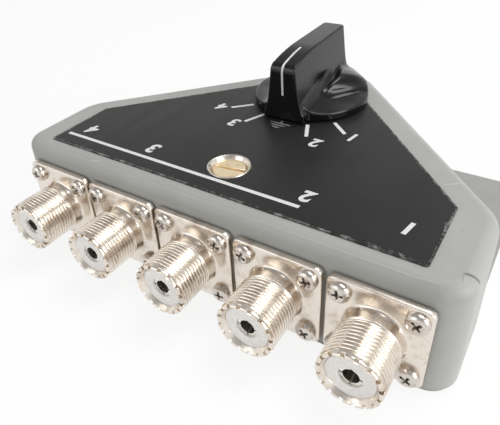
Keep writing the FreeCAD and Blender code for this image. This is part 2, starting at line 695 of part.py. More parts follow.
def make_index_frame():
    spring_y = DETENT_R + SPRING_STANDOFF
    y_mid = spring_y + SPRING_THICK / 2
    back_y = y_mid + LUG_DEPTH / 2 + FRAME_EDGE
    back_x = LUG_X + LUG_THICK / 2 + FRAME_EDGE
    half = [Vector(FRAME_HALF_WIDTH, -FRAME_FRONT, 0), Vector(FRAME_HALF_WIDTH, FRAME_SHOULDER_Y, 0),
            Vector(back_x, back_y, 0)]
    corners = half + [Vector(-p.x, p.y, 0) for p in reversed(half)]
    sheet = plate(corners, [FRAME_CORNER_R] * 6, FRAME_BOTTOM, CEILING)
    spring_low = SPRING_MID_Z - SPRING_HEIGHT / 2
    spring_high = SPRING_MID_Z + SPRING_HEIGHT / 2
    parts = [sheet]
    cutters = [rod(BUSHING_R + HOLE_CLEARANCE, FRAME_BOTTOM, CEILING),
               arc_slot(STOP_PIN_CIRCLE_R, 2 * (STOP_PIN_R + STOP_GAP), SELECT_LIMIT, FRAME_BOTTOM, CEILING)]
    for side in (-1, 1):
        x0, x1 = side * LUG_X - LUG_THICK / 2, side * LUG_X + LUG_THICK / 2
        parts.append(box(x0, x1, y_mid - LUG_DEPTH / 2, y_mid + LUG_DEPTH / 2,
                         spring_low - LUG_BELOW_SPRING, FRAME_BOTTOM))
        cutters.append(box(x0, x1, spring_y - SPRING_GAP, spring_y + SPRING_THICK + SPRING_GAP,
                           spring_low - SPRING_GAP, spring_high + SPRING_GAP))
        cutters.append(rod(SPACER_SCREW_R + THREAD_CLEARANCE, FRAME_BOTTOM, CEILING, side * SPACER_X, 0))
    return cut(fuse(parts), cutters)


def make_detent_wheel():
    wheel = rod(DETENT_R, DETENT_BOTTOM, DETENT_TOP)
    cutters = [d_hole(DETENT_BOTTOM, DETENT_TOP)]
    for i in range(-POSITION_SIDE_COUNT, POSITION_SIDE_COUNT + 1):
        p = polar(DETENT_R + DETENT_NOTCH_OUT, 180 + i * POSITION_STEP)
        cutters.append(rod(DETENT_NOTCH_R, DETENT_BOTTOM, DETENT_TOP, p.x, p.y))
    pin = polar(STOP_PIN_CIRCLE_R, 0)
    cutters.append(rod(STOP_PIN_R + FIT, DETENT_BOTTOM, DETENT_TOP, pin.x, pin.y))
    return cut(wheel, cutters)


def make_detent_spring():
    """A leaf held in the frame's two lugs, with a formed nose that drops into the wheel's notches."""
    z0 = SPRING_MID_Z - SPRING_HEIGHT / 2
    near = DETENT_R + SPRING_STANDOFF
    far = near + SPRING_THICK
    reach = LUG_X + LUG_THICK / 2 + SPRING_OVERHANG
    nose_y = DETENT_R + DETENT_NOTCH_OUT
    outer = DETENT_NOTCH_R - SPRING_GAP
    inner = outer - SPRING_THICK
    ahead = [(-outer, nose_y), (-outer, near), (-reach, near), (-reach, far), (-inner, far), (-inner, nose_y)]
    back = [(inner, nose_y), (inner, far), (reach, far), (reach, near), (outer, near), (outer, nose_y)]
    edges = []
    for side in (ahead, back):
        points = [Vector(x, y, z0) for x, y in side]
        edges += [Part.LineSegment(a, b).toShape() for a, b in zip(points, points[1:])]
    for radius in (inner, outer):
        tip = Vector(0, nose_y - radius, z0)
        edges.append(Part.Arc(Vector(-radius, nose_y, z0), tip, Vector(radius, nose_y, z0)).toShape())
    outline = Part.Wire(Part.__sortEdges__(edges))
    return Part.Face(outline).extrude(Vector(0, 0, SPRING_HEIGHT))


def make_stop_pin():
    p = polar(STOP_PIN_CIRCLE_R, 0)
    return rod(STOP_PIN_R, DETENT_BOTTOM, CEILING - PIN_TOP_GAP, p.x, p.y)


def make_rotor_hub():
    top = DETENT_BOTTOM - HUB_GAP
    hub = rod(HUB_R, HUB_BOTTOM, top)
    cutters = [d_hole(SHAFT_BOTTOM, top)]
    rivet_top = WIPER_BOTTOM + HUB_RIVET_LENGTH
    cutters += [rod(RIVET_R + FIT, HUB_BOTTOM, rivet_top, 0, s * HUB_RIVET_Y) for s in (-1, 1)]
    return cut(hub, cutters)


def make_rotor_wiper():
    tail, tip = Vector(0, WIPER_TAIL - WIPER_WIDTH / 2, 0), Vector(0, -CONTACT_CIRCLE_R, 0)
    blade = bar(tail, tip, WIPER_WIDTH, WIPER_BOTTOM, HUB_BOTTOM)
    buttons = [rod(WIPER_BUTTON_R, WIPER_BOTTOM - WIPER_BUTTON, WIPER_BOTTOM, 0, y) for y in (0, tip.y)]
    holes = [rod(RIVET_R + FIT, WIPER_BOTTOM, HUB_BOTTOM, 0, s * HUB_RIVET_Y) for s in (-1, 1)]
    return cut(fuse([blade] + buttons), holes)


def make_hub_rivets():
    return Part.makeCompound([rod(RIVET_R, WIPER_BOTTOM, WIPER_BOTTOM + HUB_RIVET_LENGTH, 0, s * HUB_RIVET_Y)
                              for s in (-1, 1)])


def strip_ends():
    """For each fixed contact: where its strip starts and where the wiper lands on it."""
    start_y = CUP_BACK_Y + STRIP_END_GAP + STRIP_WIDTH / 2
    ends = {name: (Vector(x, start_y, 0), polar(CONTACT_CIRCLE_R, PORT_ANGLES[name]))
            for name, x in zip(SOCKET_NAMES, SOCKET_XS) if name in PORT_ANGLES}
    ends["ground"] = (Vector(GROUND_POST_X, GROUND_POST_Y, 0), polar(CONTACT_CIRCLE_R, 0))
    return ends


def strip_rivet_place(name):
    start, contact = strip_ends()[name]
    return contact + (start - contact).normalize() * RIVET_FROM_CONTACT


def tongue(x):
    half = TONGUE_WIDTH / 2
    y0, y1 = CUP_BACK_Y - TONGUE_LENGTH, CUP_BACK_Y + STRIP_WIDTH / 2
    return box(x - half, x + half, y0, y1, STRIP_BOTTOM, STRIP_TOP)


def make_port_strip(name):
    start, contact = strip_ends()[name]
    flat = bar(start, contact, STRIP_WIDTH, STRIP_BOTTOM, STRIP_TOP)
    rivet = strip_rivet_place(name)
    return cut(fuse([flat, tongue(start.x)]), [rod(RIVET_R + FIT, STRIP_BOTTOM, STRIP_TOP, rivet.x, rivet.y)])


def make_ground_strip():
    start, contact = strip_ends()["ground"]
    flat = bar(start, contact, STRIP_WIDTH, STRIP_BOTTOM, STRIP_TOP)
    foot = rod(GROUND_POST_R, STRIP_BOTTOM, STRIP_TOP, start.x, start.y)
    rivet = strip_rivet_place("ground")
    return cut(fuse([flat, foot]), [rod(RIVET_R + FIT, STRIP_BOTTOM, STRIP_TOP, rivet.x, rivet.y),
                                    rod(SCREW_R + HOLE_CLEARANCE, STRIP_BOTTOM, STRIP_TOP, start.x, start.y)])


def make_common_strip():
    """Runs level from the common socket under the surge plug, steps down, and passes below the board."""
    half_pad, half_bar = COM_PAD_WIDTH / 2, COM_BAR_WIDTH / 2
    step_y = PLUG_Y + COM_PAD_BACK
    pad = box(-half_pad, half_pad, CUP_BACK_Y + STRIP_END_GAP, step_y, STRIP_BOTTOM, STRIP_TOP)
    riser = box(-half_bar, half_bar, step_y - STRIP_THICK, step_y, COM_BAR_BOTTOM, STRIP_TOP)
    flat = box(-half_bar, half_bar, step_y - STRIP_THICK, 0, COM_BAR_BOTTOM, COM_BAR_BOTTOM + STRIP_THICK)
    end = rod(COM_END_R, COM_BAR_BOTTOM, COM_BAR_BOTTOM + STRIP_THICK)
    return cut(fuse([pad, riser, flat, end, tongue(0)]),
               [rod(STUD_R + FIT, COM_BAR_BOTTOM, COM_BAR_BOTTOM + STRIP_THICK)])


def make_common_stud():
    return turned([(0, COM_BAR_BOTTOM - STUD_TAIL), (STUD_COLLAR_R, COM_BAR_BOTTOM - STUD_TAIL),
                   (STUD_COLLAR_R, COM_BAR_BOTTOM), (STUD_R, COM_BAR_BOTTOM),
                   (STUD_R, COM_BAR_BOTTOM + STRIP_THICK), (STUD_COLLAR_R, COM_BAR_BOTTOM + STRIP_THICK),
                   (STUD_COLLAR_R, BOARD_BOTTOM), (STUD_R, BOARD_BOTTOM), (STUD_R, STRIP_BOTTOM),
                   (STUD_HEAD_R, STRIP_BOTTOM), (STUD_HEAD_R, STRIP_TOP), (0, STRIP_TOP)])


def make_stator_board():
    c = BOARD_CHAMFER
    w, f, b = BOARD_HALF_WIDTH, -BOARD_FRONT, BOARD_BACK
    places = ((-w + c, f), (w - c, f), (w, f + c), (w, b), (-w, b), (-w, f + c))
    corners = [Vector(x, y, BOARD_BOTTOM) for x, y in places]
    sheet = Part.Face(Part.makePolygon(corners + corners[:1])).extrude(Vector(0, 0, BOARD_THICK))
    holes = [rod(STUD_R + FIT, BOARD_BOTTOM, STRIP_BOTTOM)]
    screw_hole = SPACER_SCREW_R + HOLE_CLEARANCE
    holes += [rod(screw_hole, BOARD_BOTTOM, STRIP_BOTTOM, s * SPACER_X, 0) for s in (-1, 1)]
    for name in strip_ends():
        p = strip_rivet_place(name)
        holes.append(rod(RIVET_R + FIT, BOARD_BOTTOM, STRIP_BOTTOM, p.x, p.y))
    return cut(sheet, holes)


def make_strip_rivets():
    low, high = BOARD_BOTTOM - RIVET_HEAD, STRIP_TOP + RIVET_HEAD
    outline = [(0, low), (RIVET_HEAD_R, low), (RIVET_HEAD_R, BOARD_BOTTOM), (RIVET_R, BOARD_BOTTOM),
               (RIVET_R, STRIP_TOP), (RIVET_HEAD_R, STRIP_TOP), (RIVET_HEAD_R, high), (0, high)]
    places = [strip_rivet_place(name) for name in strip_ends()]
    return Part.makeCompound([turned(outline, p.x, p.y) for p in places])


def make_stator_spacers():
    return Part.makeCompound([rod(SPACER_R, STRIP_BOTTOM, FRAME_BOTTOM, s * SPACER_X, 0).cut(
        rod(SPACER_SCREW_R + HOLE_CLEARANCE, STRIP_BOTTOM, FRAME_BOTTOM, s * SPACER_X, 0)) for s in (-1, 1)])


def make_stator_screws():
    low, high = BOARD_BOTTOM - SPACER_HEAD_HEIGHT, CEILING - PIN_TOP_GAP
    outline = [(0, low), (SPACER_HEAD_R, low), (SPACER_HEAD_R, BOARD_BOTTOM), (SPACER_SCREW_R, BOARD_BOTTOM),
               (SPACER_SCREW_R, high), (0, high)]
    half = RECESS_WIDTH / 2
    slot = box(-SPACER_HEAD_R, SPACER_HEAD_R, -half, half, low, low + RECESS_WIDTH)
    screw = turned(outline).cut(slot)
    return Part.makeCompound([screw.translated(Vector(side * SPACER_X, 0, 0)) for side in (-1, 1)])


def make_ground_screw():
    screw = pan_screw(GROUND_SCREW_LENGTH, SCREW_TURN_STEP)
    screw.rotate(Vector(0, 0, 0), Vector(1, 0, 0), 180)
    screw.translate(Vector(GROUND_POST_X, GROUND_POST_Y, STRIP_BOTTOM))
    return screw


def make_plug_sleeve():
    top = SLEEVE_TOP
    bore = PLUG_THREAD_R + PLUG_RUN_GAP
    low = top - SLEEVE_FLANGE_THICK - SLEEVE_LENGTH
    return turned([(bore, low), (SLEEVE_R, low), (SLEEVE_R, HOUSING_TOP), (SLEEVE_FLANGE_R, HOUSING_TOP),
                   (SLEEVE_FLANGE_R, top - SLEEVE_BEVEL / 2), (SLEEVE_FLANGE_R - SLEEVE_BEVEL / 2, top),
                   (bore + SLEEVE_BEVEL, top), (bore, top - SLEEVE_BEVEL)], 0, PLUG_Y)


def make_sleeve_nut():
    nut = hexagon(SLEEVE_NUT_AF, CEILING - SLEEVE_NUT_THICK, CEILING)
    nut = nut.cut(rod(SLEEVE_R + FIT, CEILING - SLEEVE_NUT_THICK, CEILING))
    nut.translate(Vector(0, PLUG_Y, 0))
    return nut


def make_plug_cap():
    thread = grooved_profile(PLUG_BOTTOM, PLUG_TOP - PLUG_TOP_BEVEL, PLUG_THREAD_R, PLUG_THREAD_DEPTH,
                             PLUG_THREAD_PITCH, PLUG_THREAD_CREST)
    socket_top = PLUG_BOTTOM + TUBE_SOCKET_DEPTH
    socket_r = TUBE_R + TUBE_SOCKET_GAP
    cap = turned([(0, socket_top), (socket_r, socket_top), (socket_r, PLUG_BOTTOM)] + thread
                 + [(PLUG_THREAD_R - PLUG_TOP_BEVEL, PLUG_TOP), (0, PLUG_TOP)])
    slot = box(-2 * PLUG_THREAD_R, 2 * PLUG_THREAD_R, -PLUG_SLOT_WIDTH / 2, PLUG_SLOT_WIDTH / 2,
               PLUG_TOP - PLUG_SLOT_DEPTH, PLUG_TOP)
    slot.rotate(Vector(0, 0, 0), Z_AXIS, PLUG_SLOT_TURN)
    cap = cap.cut(slot)
    cap.translate(Vector(0, PLUG_Y, 0))
    return cap


def make_gas_tube():
    return rod(TUBE_BODY_R, TUBE_BOTTOM + TUBE_CAP_THICK, TUBE_TOP - TUBE_CAP_THICK, 0, PLUG_Y)


def make_tube_electrodes():
    return Part.makeCompound([rod(TUBE_R, TUBE_BOTTOM, TUBE_BOTTOM + TUBE_CAP_THICK, 0, PLUG_Y),
                              rod(TUBE_R, TUBE_TOP - TUBE_CAP_THICK, TUBE_TOP, 0, PLUG_Y)])


def make_tube_contact():
    """A coned spring washer on the common strip, under the tube's lower electrode."""
    top = TUBE_BOTTOM - CONE_GAP
    return turned([(CONE_BASE_R, STRIP_TOP), (CONE_TOP_R, top), (CONE_TOP_R - CONE_THICK, top),
                   (CONE_BASE_R - 2 * CONE_THICK, STRIP_TOP)], 0, PLUG_Y)


def make_skirt():
    """The knob's round skirt: an elliptic dome with a finger scoop and a groove each side of the blade."""
    dome_r = KNOB_R + DOME_PAST_RIM
    rim_share = math.sqrt(1 - (KNOB_R / dome_r) ** 2)
    rim_z = LABEL_TOP + DOME_BASE + DOME_SEMI_HEIGHT * rim_share
    crown_z = LABEL_TOP + DOME_BASE + DOME_SEMI_HEIGHT
    centre = Vector(0, 0, LABEL_TOP + DOME_BASE)
    ellipse = Part.Ellipse(centre + Vector(dome_r, 0, 0), Vector(0, 0, crown_z), centre)
    start = math.asin(rim_share)
    dome = Part.ArcOfEllipse(ellipse, start, math.pi / 2).toShape()
    lines = [Vector(0, 0, crown_z), Vector(0, 0, KNOB_BOTTOM), Vector(KNOB_R, 0, KNOB_BOTTOM),
             Vector(KNOB_R, 0, rim_z)]
    edges = [Part.LineSegment(a, b).toShape() for a, b in zip(lines, lines[1:])]
    skirt = Part.Face(Part.Wire(edges + [dome])).revolve(Vector(0, 0, 0), Z_AXIS, 360)
    cutters = []
    for side in (-1, 1):
        turn = math.radians(SCOOP_TURN)
        out = Vector(side * math.sin(turn), -math.cos(turn), 0)
        along = Vector(side * math.cos(turn), math.sin(turn), 0)
        middle = out * SCOOP_OFFSET + Vector(0, 0, LABEL_TOP + SCOOP_FLOOR + SCOOP_R)
        cutters.append(Part.makeCylinder(SCOOP_R, 4 * KNOB_R, middle - along * (2 * KNOB_R), along))
        groove_z = LABEL_TOP + GROOVE_FLOOR + GROOVE_R
        cutters.append(Part.makeCylinder(GROOVE_R, 4 * KNOB_R, Vector(side * GROOVE_X, -2 * KNOB_R, groove_z),
                                         Vector(0, 1, 0)))
    return skirt.cut(Part.makeCompound(cutters))


def blade_section(front, waist, back, front_half, waist_half, back_half, z_front, z_back):
    """A section of the blade: straight flanks to a waist, then a flare to the back end."""
    points = [(-front_half, front), (front_half, front), (waist_half, waist), (back_half, back),
              (-back_half, back), (-waist_half, waist)]
    rise = (z_back - z_front) / (back - front)
    corners = [Vector(x, y, z_front + rise * (y - front)) for x, y in points]
    return Part.makePolygon(corners + corners[:1])


def make_blade():
    foot_z = LABEL_TOP + BLADE_FOOT
    top_z = LABEL_TOP + KNOB_HEIGHT
    foot = blade_section(-BLADE_FRONT_FOOT, BLADE_WAIST_FOOT_Y, BLADE_BACK_FOOT, BLADE_FRONT_HALF_FOOT,
                         BLADE_WAIST_HALF_FOOT, BLADE_BACK_HALF_FOOT, foot_z, foot_z)
    top = blade_section(-BLADE_FRONT_TOP, BLADE_WAIST_TOP_Y, BLADE_BACK_TOP, BLADE_FRONT_HALF_TOP,
                        BLADE_WAIST_HALF_TOP, BLADE_BACK_HALF_TOP, top_z - KNOB_FRONT_DROP, top_z)
    blade = Part.makeLoft([foot, top], True, True)
    edges = [e for e in blade.Edges if max(v.Z for v in e.Vertexes) > foot_z + BLADE_EDGE_R]
    return blade.makeFillet(BLADE_EDGE_R, edges)


def make_knob():
    body = fuse([make_skirt(), make_blade()])
    insert_top = CAVITY_TOP + INSERT_LENGTH
    set_z = CAVITY_TOP + INSERT_LENGTH / 2
    hole = Part.makeCylinder(SET_SCREW_R + FIT, KNOB_R, Vector(0, 0, set_z), Vector(0, 1, 0))
    cutters = [rod(KNOB_CAVITY_R, KNOB_BOTTOM, CAVITY_TOP), rod(INSERT_R + FIT, CAVITY_TOP, insert_top),
               rod(SHAFT_R + SHAFT_RUN_GAP, insert_top, SHAFT_TOP_Z + SHAFT_RUN_GAP), hole]
    return cut(body, cutters)


def make_knob_insert():
    top = CAVITY_TOP + INSERT_LENGTH
    hole = Part.makeCylinder(SET_SCREW_R + FIT, INSERT_R, Vector(0, 0, CAVITY_TOP + INSERT_LENGTH / 2),
                             Vector(0, 1, 0))
    return cut(rod(INSERT_R, CAVITY_TOP, top), [rod(SHAFT_R + FIT, CAVITY_TOP, top), hole])


def make_knob_set_screw():
    start_y = SHAFT_R - SHAFT_FLAT + FIT
    screw = rod(SET_SCREW_R, 0, SET_SCREW_LENGTH)
    key = hexagon(SET_SCREW_HEX, SET_SCREW_LENGTH - SET_SCREW_HEX_DEPTH, SET_SCREW_LENGTH)
    screw = screw.cut(key)
    screw.rotate(Vector(0, 0, 0), Vector(1, 0, 0), -90)
    screw.translate(Vector(0, start_y, CAVITY_TOP + INSERT_LENGTH / 2))
    return screw


NODES = {
    "housing": make_housing(),
    "base_plate": make_base_plate(),
    "cover_screws": make_cover_screws(),
    "label_plate": make_label(),
    "shaft": make_shaft(),
    "shaft_bushing": make_bushing(),
    "lock_washer": make_lock_washer(),
    "panel_nut": make_panel_nut(),
    "retaining_ring": make_retaining_ring(),
    "index_frame": make_index_frame(),
    "detent_wheel": make_detent_wheel(),
    "detent_spring": make_detent_spring(),
    "stop_pin": make_stop_pin(),
    "rotor_hub": make_rotor_hub(),
    "rotor_wiper": make_rotor_wiper(),
    "hub_rivets": make_hub_rivets(),
    "common_strip": make_common_strip(),
    "common_stud": make_common_stud(),
    "ground_strip": make_ground_strip(),
    "ground_screw": make_ground_screw(),
    "stator_board": make_stator_board(),
    "strip_rivets": make_strip_rivets(),
    "stator_spacers": make_stator_spacers(),
    "stator_screws": make_stator_screws(),
    "plug_sleeve": make_plug_sleeve(),
    "sleeve_nut": make_sleeve_nut(),
    "plug_cap": make_plug_cap(),
    "gas_tube": make_gas_tube(),
    "tube_electrodes": make_tube_electrodes(),
    "tube_contact": make_tube_contact(),
    "knob": make_knob(),
    "knob_insert": make_knob_insert(),
    "knob_set_screw": make_knob_set_screw(),
}
for name in PORT_ANGLES:
    NODES[name + "_strip"] = make_port_strip(name)
for i, (name, x) in enumerate(zip(SOCKET_NAMES, SOCKET_XS)):
    NODES[name + "_shell"] = facing_front(make_socket_shell(), x, FLANGE_FACE_Y, SOCKET_AXIS_Z)
    NODES[name + "_insulator"] = facing_front(make_insulator(), x, FLANGE_FACE_Y, SOCKET_AXIS_Z)
    NODES[name + "_contact"] = facing_front(make_centre_contact(), x, FLANGE_FACE_Y, SOCKET_AXIS_Z)
    NODES[name + "_screws"] = make_socket_screws(x, SOCKET_SCREW_TURN * i)

os.makedirs("parts", exist_ok=True)
for name, shape in NODES.items():
    shape.exportStep(os.path.join("parts", name + ".step"))
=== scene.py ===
import json
import math

import bmesh
import bpy
import numpy as np
from mathutils import Matrix, Vector


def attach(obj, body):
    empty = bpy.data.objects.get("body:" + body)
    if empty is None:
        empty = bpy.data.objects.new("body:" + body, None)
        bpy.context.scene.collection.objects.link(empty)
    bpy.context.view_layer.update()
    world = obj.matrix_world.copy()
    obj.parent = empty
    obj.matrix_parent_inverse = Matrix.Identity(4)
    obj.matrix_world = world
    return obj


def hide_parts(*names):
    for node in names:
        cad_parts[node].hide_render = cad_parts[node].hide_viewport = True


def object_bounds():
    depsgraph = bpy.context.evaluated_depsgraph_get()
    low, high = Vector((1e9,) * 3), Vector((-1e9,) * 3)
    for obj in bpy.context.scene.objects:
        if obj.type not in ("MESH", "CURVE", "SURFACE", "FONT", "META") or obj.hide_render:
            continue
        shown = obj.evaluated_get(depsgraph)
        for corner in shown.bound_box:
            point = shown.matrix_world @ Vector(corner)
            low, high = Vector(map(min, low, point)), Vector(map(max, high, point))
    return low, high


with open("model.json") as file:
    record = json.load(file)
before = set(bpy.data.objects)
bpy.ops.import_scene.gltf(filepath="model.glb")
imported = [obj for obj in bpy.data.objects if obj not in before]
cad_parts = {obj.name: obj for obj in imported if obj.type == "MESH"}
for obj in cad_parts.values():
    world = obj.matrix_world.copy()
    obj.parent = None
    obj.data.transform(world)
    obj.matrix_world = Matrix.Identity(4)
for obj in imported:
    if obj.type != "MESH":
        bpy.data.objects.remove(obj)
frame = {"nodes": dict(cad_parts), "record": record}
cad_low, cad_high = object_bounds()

MM = 0.001
TAU = 2 * math.pi

# Sizes and places are in millimetres, in the shared frame, unless a name or comment says otherwise.
PORT_XS = {"port_4": -53.0, "port_3": -26.5, "common": 0.0, "port_2": 26.5, "port_1": 53.0}
FLANGE_FACE_Y = -72.6
SOCKET_AXIS_Z = 14.8
LABEL_BOTTOM = 33.4
LABEL_TOP = 33.9
PLUG_Y = -52.6

WEAR_SEED = 7
dice = np.random.default_rng(WEAR_SEED)


# Node material helpers

def new_material(name):
    """A material, its node tree and its Principled shader."""
    material = bpy.data.materials.new(name)
    material.use_nodes = True
    tree = material.node_tree
    return material, tree, tree.nodes["Principled BSDF"]


def add(tree, kind, **settings):
    """A new node with its inputs or properties set by name."""
    node = tree.nodes.new(kind)
    for key, value in settings.items():
        if key in node.inputs:
            node.inputs[key].default_value = value
        else:
            setattr(node, key, value)
    return node


def math_node(tree, operation, first, second=0.0, clamp=False):
    node = add(tree, "ShaderNodeMath", operation=operation, use_clamp=clamp)
    for socket, value in zip(node.inputs, (first, second)):
        if isinstance(value, (int, float)):
            socket.default_value = value
        else:
            tree.links.new(value, socket)
    return node.outputs[0]


def place_in_mm(tree):
    """The surface point in millimetres, in the shared frame."""
    coordinates = add(tree, "ShaderNodeTexCoord")
    scaled = add(tree, "ShaderNodeVectorMath", operation="SCALE")
    scaled.inputs["Scale"].default_value = 1 / MM
    tree.links.new(coordinates.outputs["Object"], scaled.inputs[0])
    return scaled.outputs[0]


def noise(tree, place, size, detail=3.0, rough=0.6, stretch=(1, 1, 1)):
    """Noise whose blobs are about size millimetres across."""
    stretched = add(tree, "ShaderNodeVectorMath", operation="MULTIPLY")
    stretched.inputs[1].default_value = stretch
    tree.links.new(place, stretched.inputs[0])
    texture = add(tree, "ShaderNodeTexNoise", Scale=1 / size, Detail=detail, Roughness=rough)
    tree.links.new(stretched.outputs[0], texture.inputs["Vector"])
    return texture.outputs["Fac"]


def ramp(tree, factor, stops):
    """A colour ramp. Each stop is (position, colour or grey)."""
    node = add(tree, "ShaderNodeValToRGB")
    elements = node.color_ramp.elements
    while len(elements) < len(stops):
        elements.new(0.5)
    for element, (position, colour) in zip(elements, stops):
        element.position = position
        grey = isinstance(colour, (int, float))
        element.color = (colour, colour, colour, 1) if grey else (*colour, 1)
    tree.links.new(factor, node.inputs["Fac"])
    return node.outputs["Color"]


def mix(tree, factor, first, second):
    """Mixes two colours, each one a socket or a plain colour."""
    node = add(tree, "ShaderNodeMix", data_type="RGBA")
    for socket, value in ((node.inputs[6], first), (node.inputs[7], second)):
        if isinstance(value, tuple):
            socket.default_value = (*value, 1)
        else:
            tree.links.new(value, socket)
    tree.links.new(factor, node.inputs[0])
    return node.outputs[2]


def bump(tree, shader, heights, edge=0.0):
    """Bumps from (height, millimetres) pairs, on edges that are rounded by edge millimetres."""
    normal = None
    if edge:
        bevel = add(tree, "ShaderNodeBevel", samples=6, Radius=edge * MM)
        normal = bevel.outputs["Normal"]
    for height, distance in heights:
        node = add(tree, "ShaderNodeBump", Distance=distance * MM)
        tree.links.new(height, node.inputs["Height"])
        if normal:
            tree.links.new(normal, node.inputs["Normal"])
        normal = node.outputs["Normal"]
    tree.links.new(normal, shader.inputs["Normal"])


def gloss(tree, shader, factor, low, high, smooth, matte):
    """Roughness that goes from smooth to matte as the factor goes from low to high."""
    tree.links.new(ramp(tree, factor, [(low, smooth), (high, matte)]), shader.inputs["Roughness"])


def flattened(tree, place):
    """The place seen from above, at height zero."""
    node = add(tree, "ShaderNodeVectorMath", operation="MULTIPLY")
    node.inputs[1].default_value = (1, 1, 0)
    tree.links.new(place, node.inputs[0])
    return node.outputs[0]


def line_mask(tree, place, points, half_width):
    """1 on a line through the points as seen from above, falling to 0 at half_width from it."""
    total = None
    for start, end in zip(points, points[1:]):
        start, end = Vector((*start, 0)), Vector((*end, 0))
        along = (end - start).normalized()
        from_start = add(tree, "ShaderNodeVectorMath", operation="SUBTRACT")
        tree.links.new(place, from_start.inputs[0])
        from_start.inputs[1].default_value = start
        run = add(tree, "ShaderNodeVectorMath", operation="DOT_PRODUCT")
        tree.links.new(from_start.outputs[0], run.inputs[0])
        run.inputs[1].default_value = along
        forward = math_node(tree, "MAXIMUM", run.outputs["Value"])
        reach = math_node(tree, "MINIMUM", forward, (end - start).length)
        nearest = add(tree, "ShaderNodeVectorMath", operation="SCALE")
        nearest.inputs[0].default_value = along
        tree.links.new(reach, nearest.inputs["Scale"])
        gap = add(tree, "ShaderNodeVectorMath", operation="DISTANCE")
        tree.links.new(from_start.outputs[0], gap.inputs[0])
        tree.links.new(nearest.outputs[0], gap.inputs[1])
        share = math_node(tree, "DIVIDE", gap.outputs["Value"], half_width)
        mask = math_node(tree, "SUBTRACT", 1.0, share, clamp=True)
        total = mask if total is None else math_node(tree, "MAXIMUM", total, mask)
    return total


# Materials

PAINT_DARK = (0.385, 0.390, 0.368)
PAINT_LIGHT = (0.425, 0.430, 0.408)
PAINT_STREAK = (0.35, 0.352, 0.33)
PAINT_SPECK = (0.26, 0.26, 0.245)
SCRATCH_GREY = (0.62, 0.62, 0.60)
# Painted shade for the nick, and a painted highlight along the casting step
PAINTED_NICK_SHADE = (0.10, 0.10, 0.095)
PAINTED_STEP_HIGHLIGHT = (0.50, 0.50, 0.48)
SHEET_DARK = (0.35, 0.352, 0.332)
SHEET_LIGHT = (0.395, 0.397, 0.375)
PRINT_DARK = (0.014, 0.0145, 0.014)
PRINT_LIGHT = (0.020, 0.0205, 0.020)
PRINT_SCRATCH = (0.05, 0.05, 0.049)
PRINT_DUST = (0.08, 0.08, 0.075)
FILM_CLEAR = (0.012, 0.012, 0.012)
FILM_CLOUDY = (0.10, 0.10, 0.097)
FILM_MILKY = (0.26, 0.26, 0.25)
# Colour of the painted shade in metal recesses
PAINTED_RECESS_SHADE = (0.03, 0.026, 0.022)

# Marks on the casting's paint, as lines seen from above; the nick gets painted shade and the step a painted
# highlight
CORNER_SCRATCH = [(55.2, -32.0), (57.0, -30.8), (58.9, -28.9)]
FRONT_SCRATCH = [(-40.0, -68.6), (-36.5, -67.9)]
CORNER_NICK = [(71.4, -62.7), (67.9, -63.5)]
CASTING_STEP = [(67.9, -63.5), (68.3, -66.6), (64.2, -68.7), (60.0, -69.1), (-60.0, -69.1)]
NICK_BOTTOM = 31.2
NICK_FADE = 1.4


def paint_material():
    """Grey paint on a casting: orange peel, faint stains, specks, scratches, a painted-shade nick and a
    painted-highlight step.
    """
    material, tree, shader = new_material("casting_paint")
    place = place_in_mm(tree)
    cloud = noise(tree, place, 18, 4)
    grain = noise(tree, place, 0.45, 3)
    colour = ramp(tree, cloud, [(0.3, PAINT_DARK), (0.7, PAINT_LIGHT)])
    streak = noise(tree, place, 5, 4, 0.7, (0.15, 1, 1))
    colour = mix(tree, ramp(tree, streak, [(0.62, 0.0), (0.8, 0.5)]), colour, PAINT_STREAK)
    specks = ramp(tree, noise(tree, place, 1.0, 2), [(0.72, 0.0), (0.78, 1.0)])
    colour = mix(tree, specks, colour, PAINT_SPECK)
    flat = flattened(tree, place)
    height = add(tree, "ShaderNodeSeparateXYZ")
    tree.links.new(place, height.inputs[0])
    over_bottom = math_node(tree, "SUBTRACT", height.outputs["Z"], NICK_BOTTOM)
    near_top = math_node(tree, "MULTIPLY", over_bottom, NICK_FADE, clamp=True)
    corner_scratch = line_mask(tree, flat, CORNER_SCRATCH, half_width=0.3)
    front_scratch = line_mask(tree, flat, FRONT_SCRATCH, half_width=0.2)
    scratches = math_node(tree, "MAXIMUM", corner_scratch, front_scratch)
    colour = mix(tree, math_node(tree, "MULTIPLY", scratches, 0.7), colour, SCRATCH_GREY)
    nick = math_node(tree, "MULTIPLY", line_mask(tree, flat, CORNER_NICK, half_width=0.45), near_top)
    step = line_mask(tree, flat, CASTING_STEP, half_width=0.35)
    # Painted shade darkens the nick, and a painted highlight lightens the casting step's line
    colour = mix(tree, math_node(tree, "MULTIPLY", nick, 0.75), colour, PAINTED_NICK_SHADE)
    colour = mix(tree, math_node(tree, "MULTIPLY", step, 0.35), colour, PAINTED_STEP_HIGHLIGHT)
    tree.links.new(colour, shader.inputs["Base Color"])
    gloss(tree, shader, grain, 0.3, 0.7, smooth=0.40, matte=0.54)
    bump(tree, shader, [(grain, 0.045), (cloud, 0.3), (step, 0.10), (nick, -0.4)], edge=0.2)
    return material


def sheet_material():
    """The base sheet: the same grey, a little darker."""
    material, tree, shader = new_material("base_sheet_paint")
    place = place_in_mm(tree)
    cloud = noise(tree, place, 14, 4)
    tree.links.new(ramp(tree, cloud, [(0.3, SHEET_DARK), (0.7, SHEET_LIGHT)]), shader.inputs["Base Color"])
    grain = noise(tree, place, 0.6, 3)
    gloss(tree, shader, grain, 0.3, 0.7, smooth=0.40, matte=0.55)
    bump(tree, shader, [(grain, 0.04)], edge=0.2)
    return material


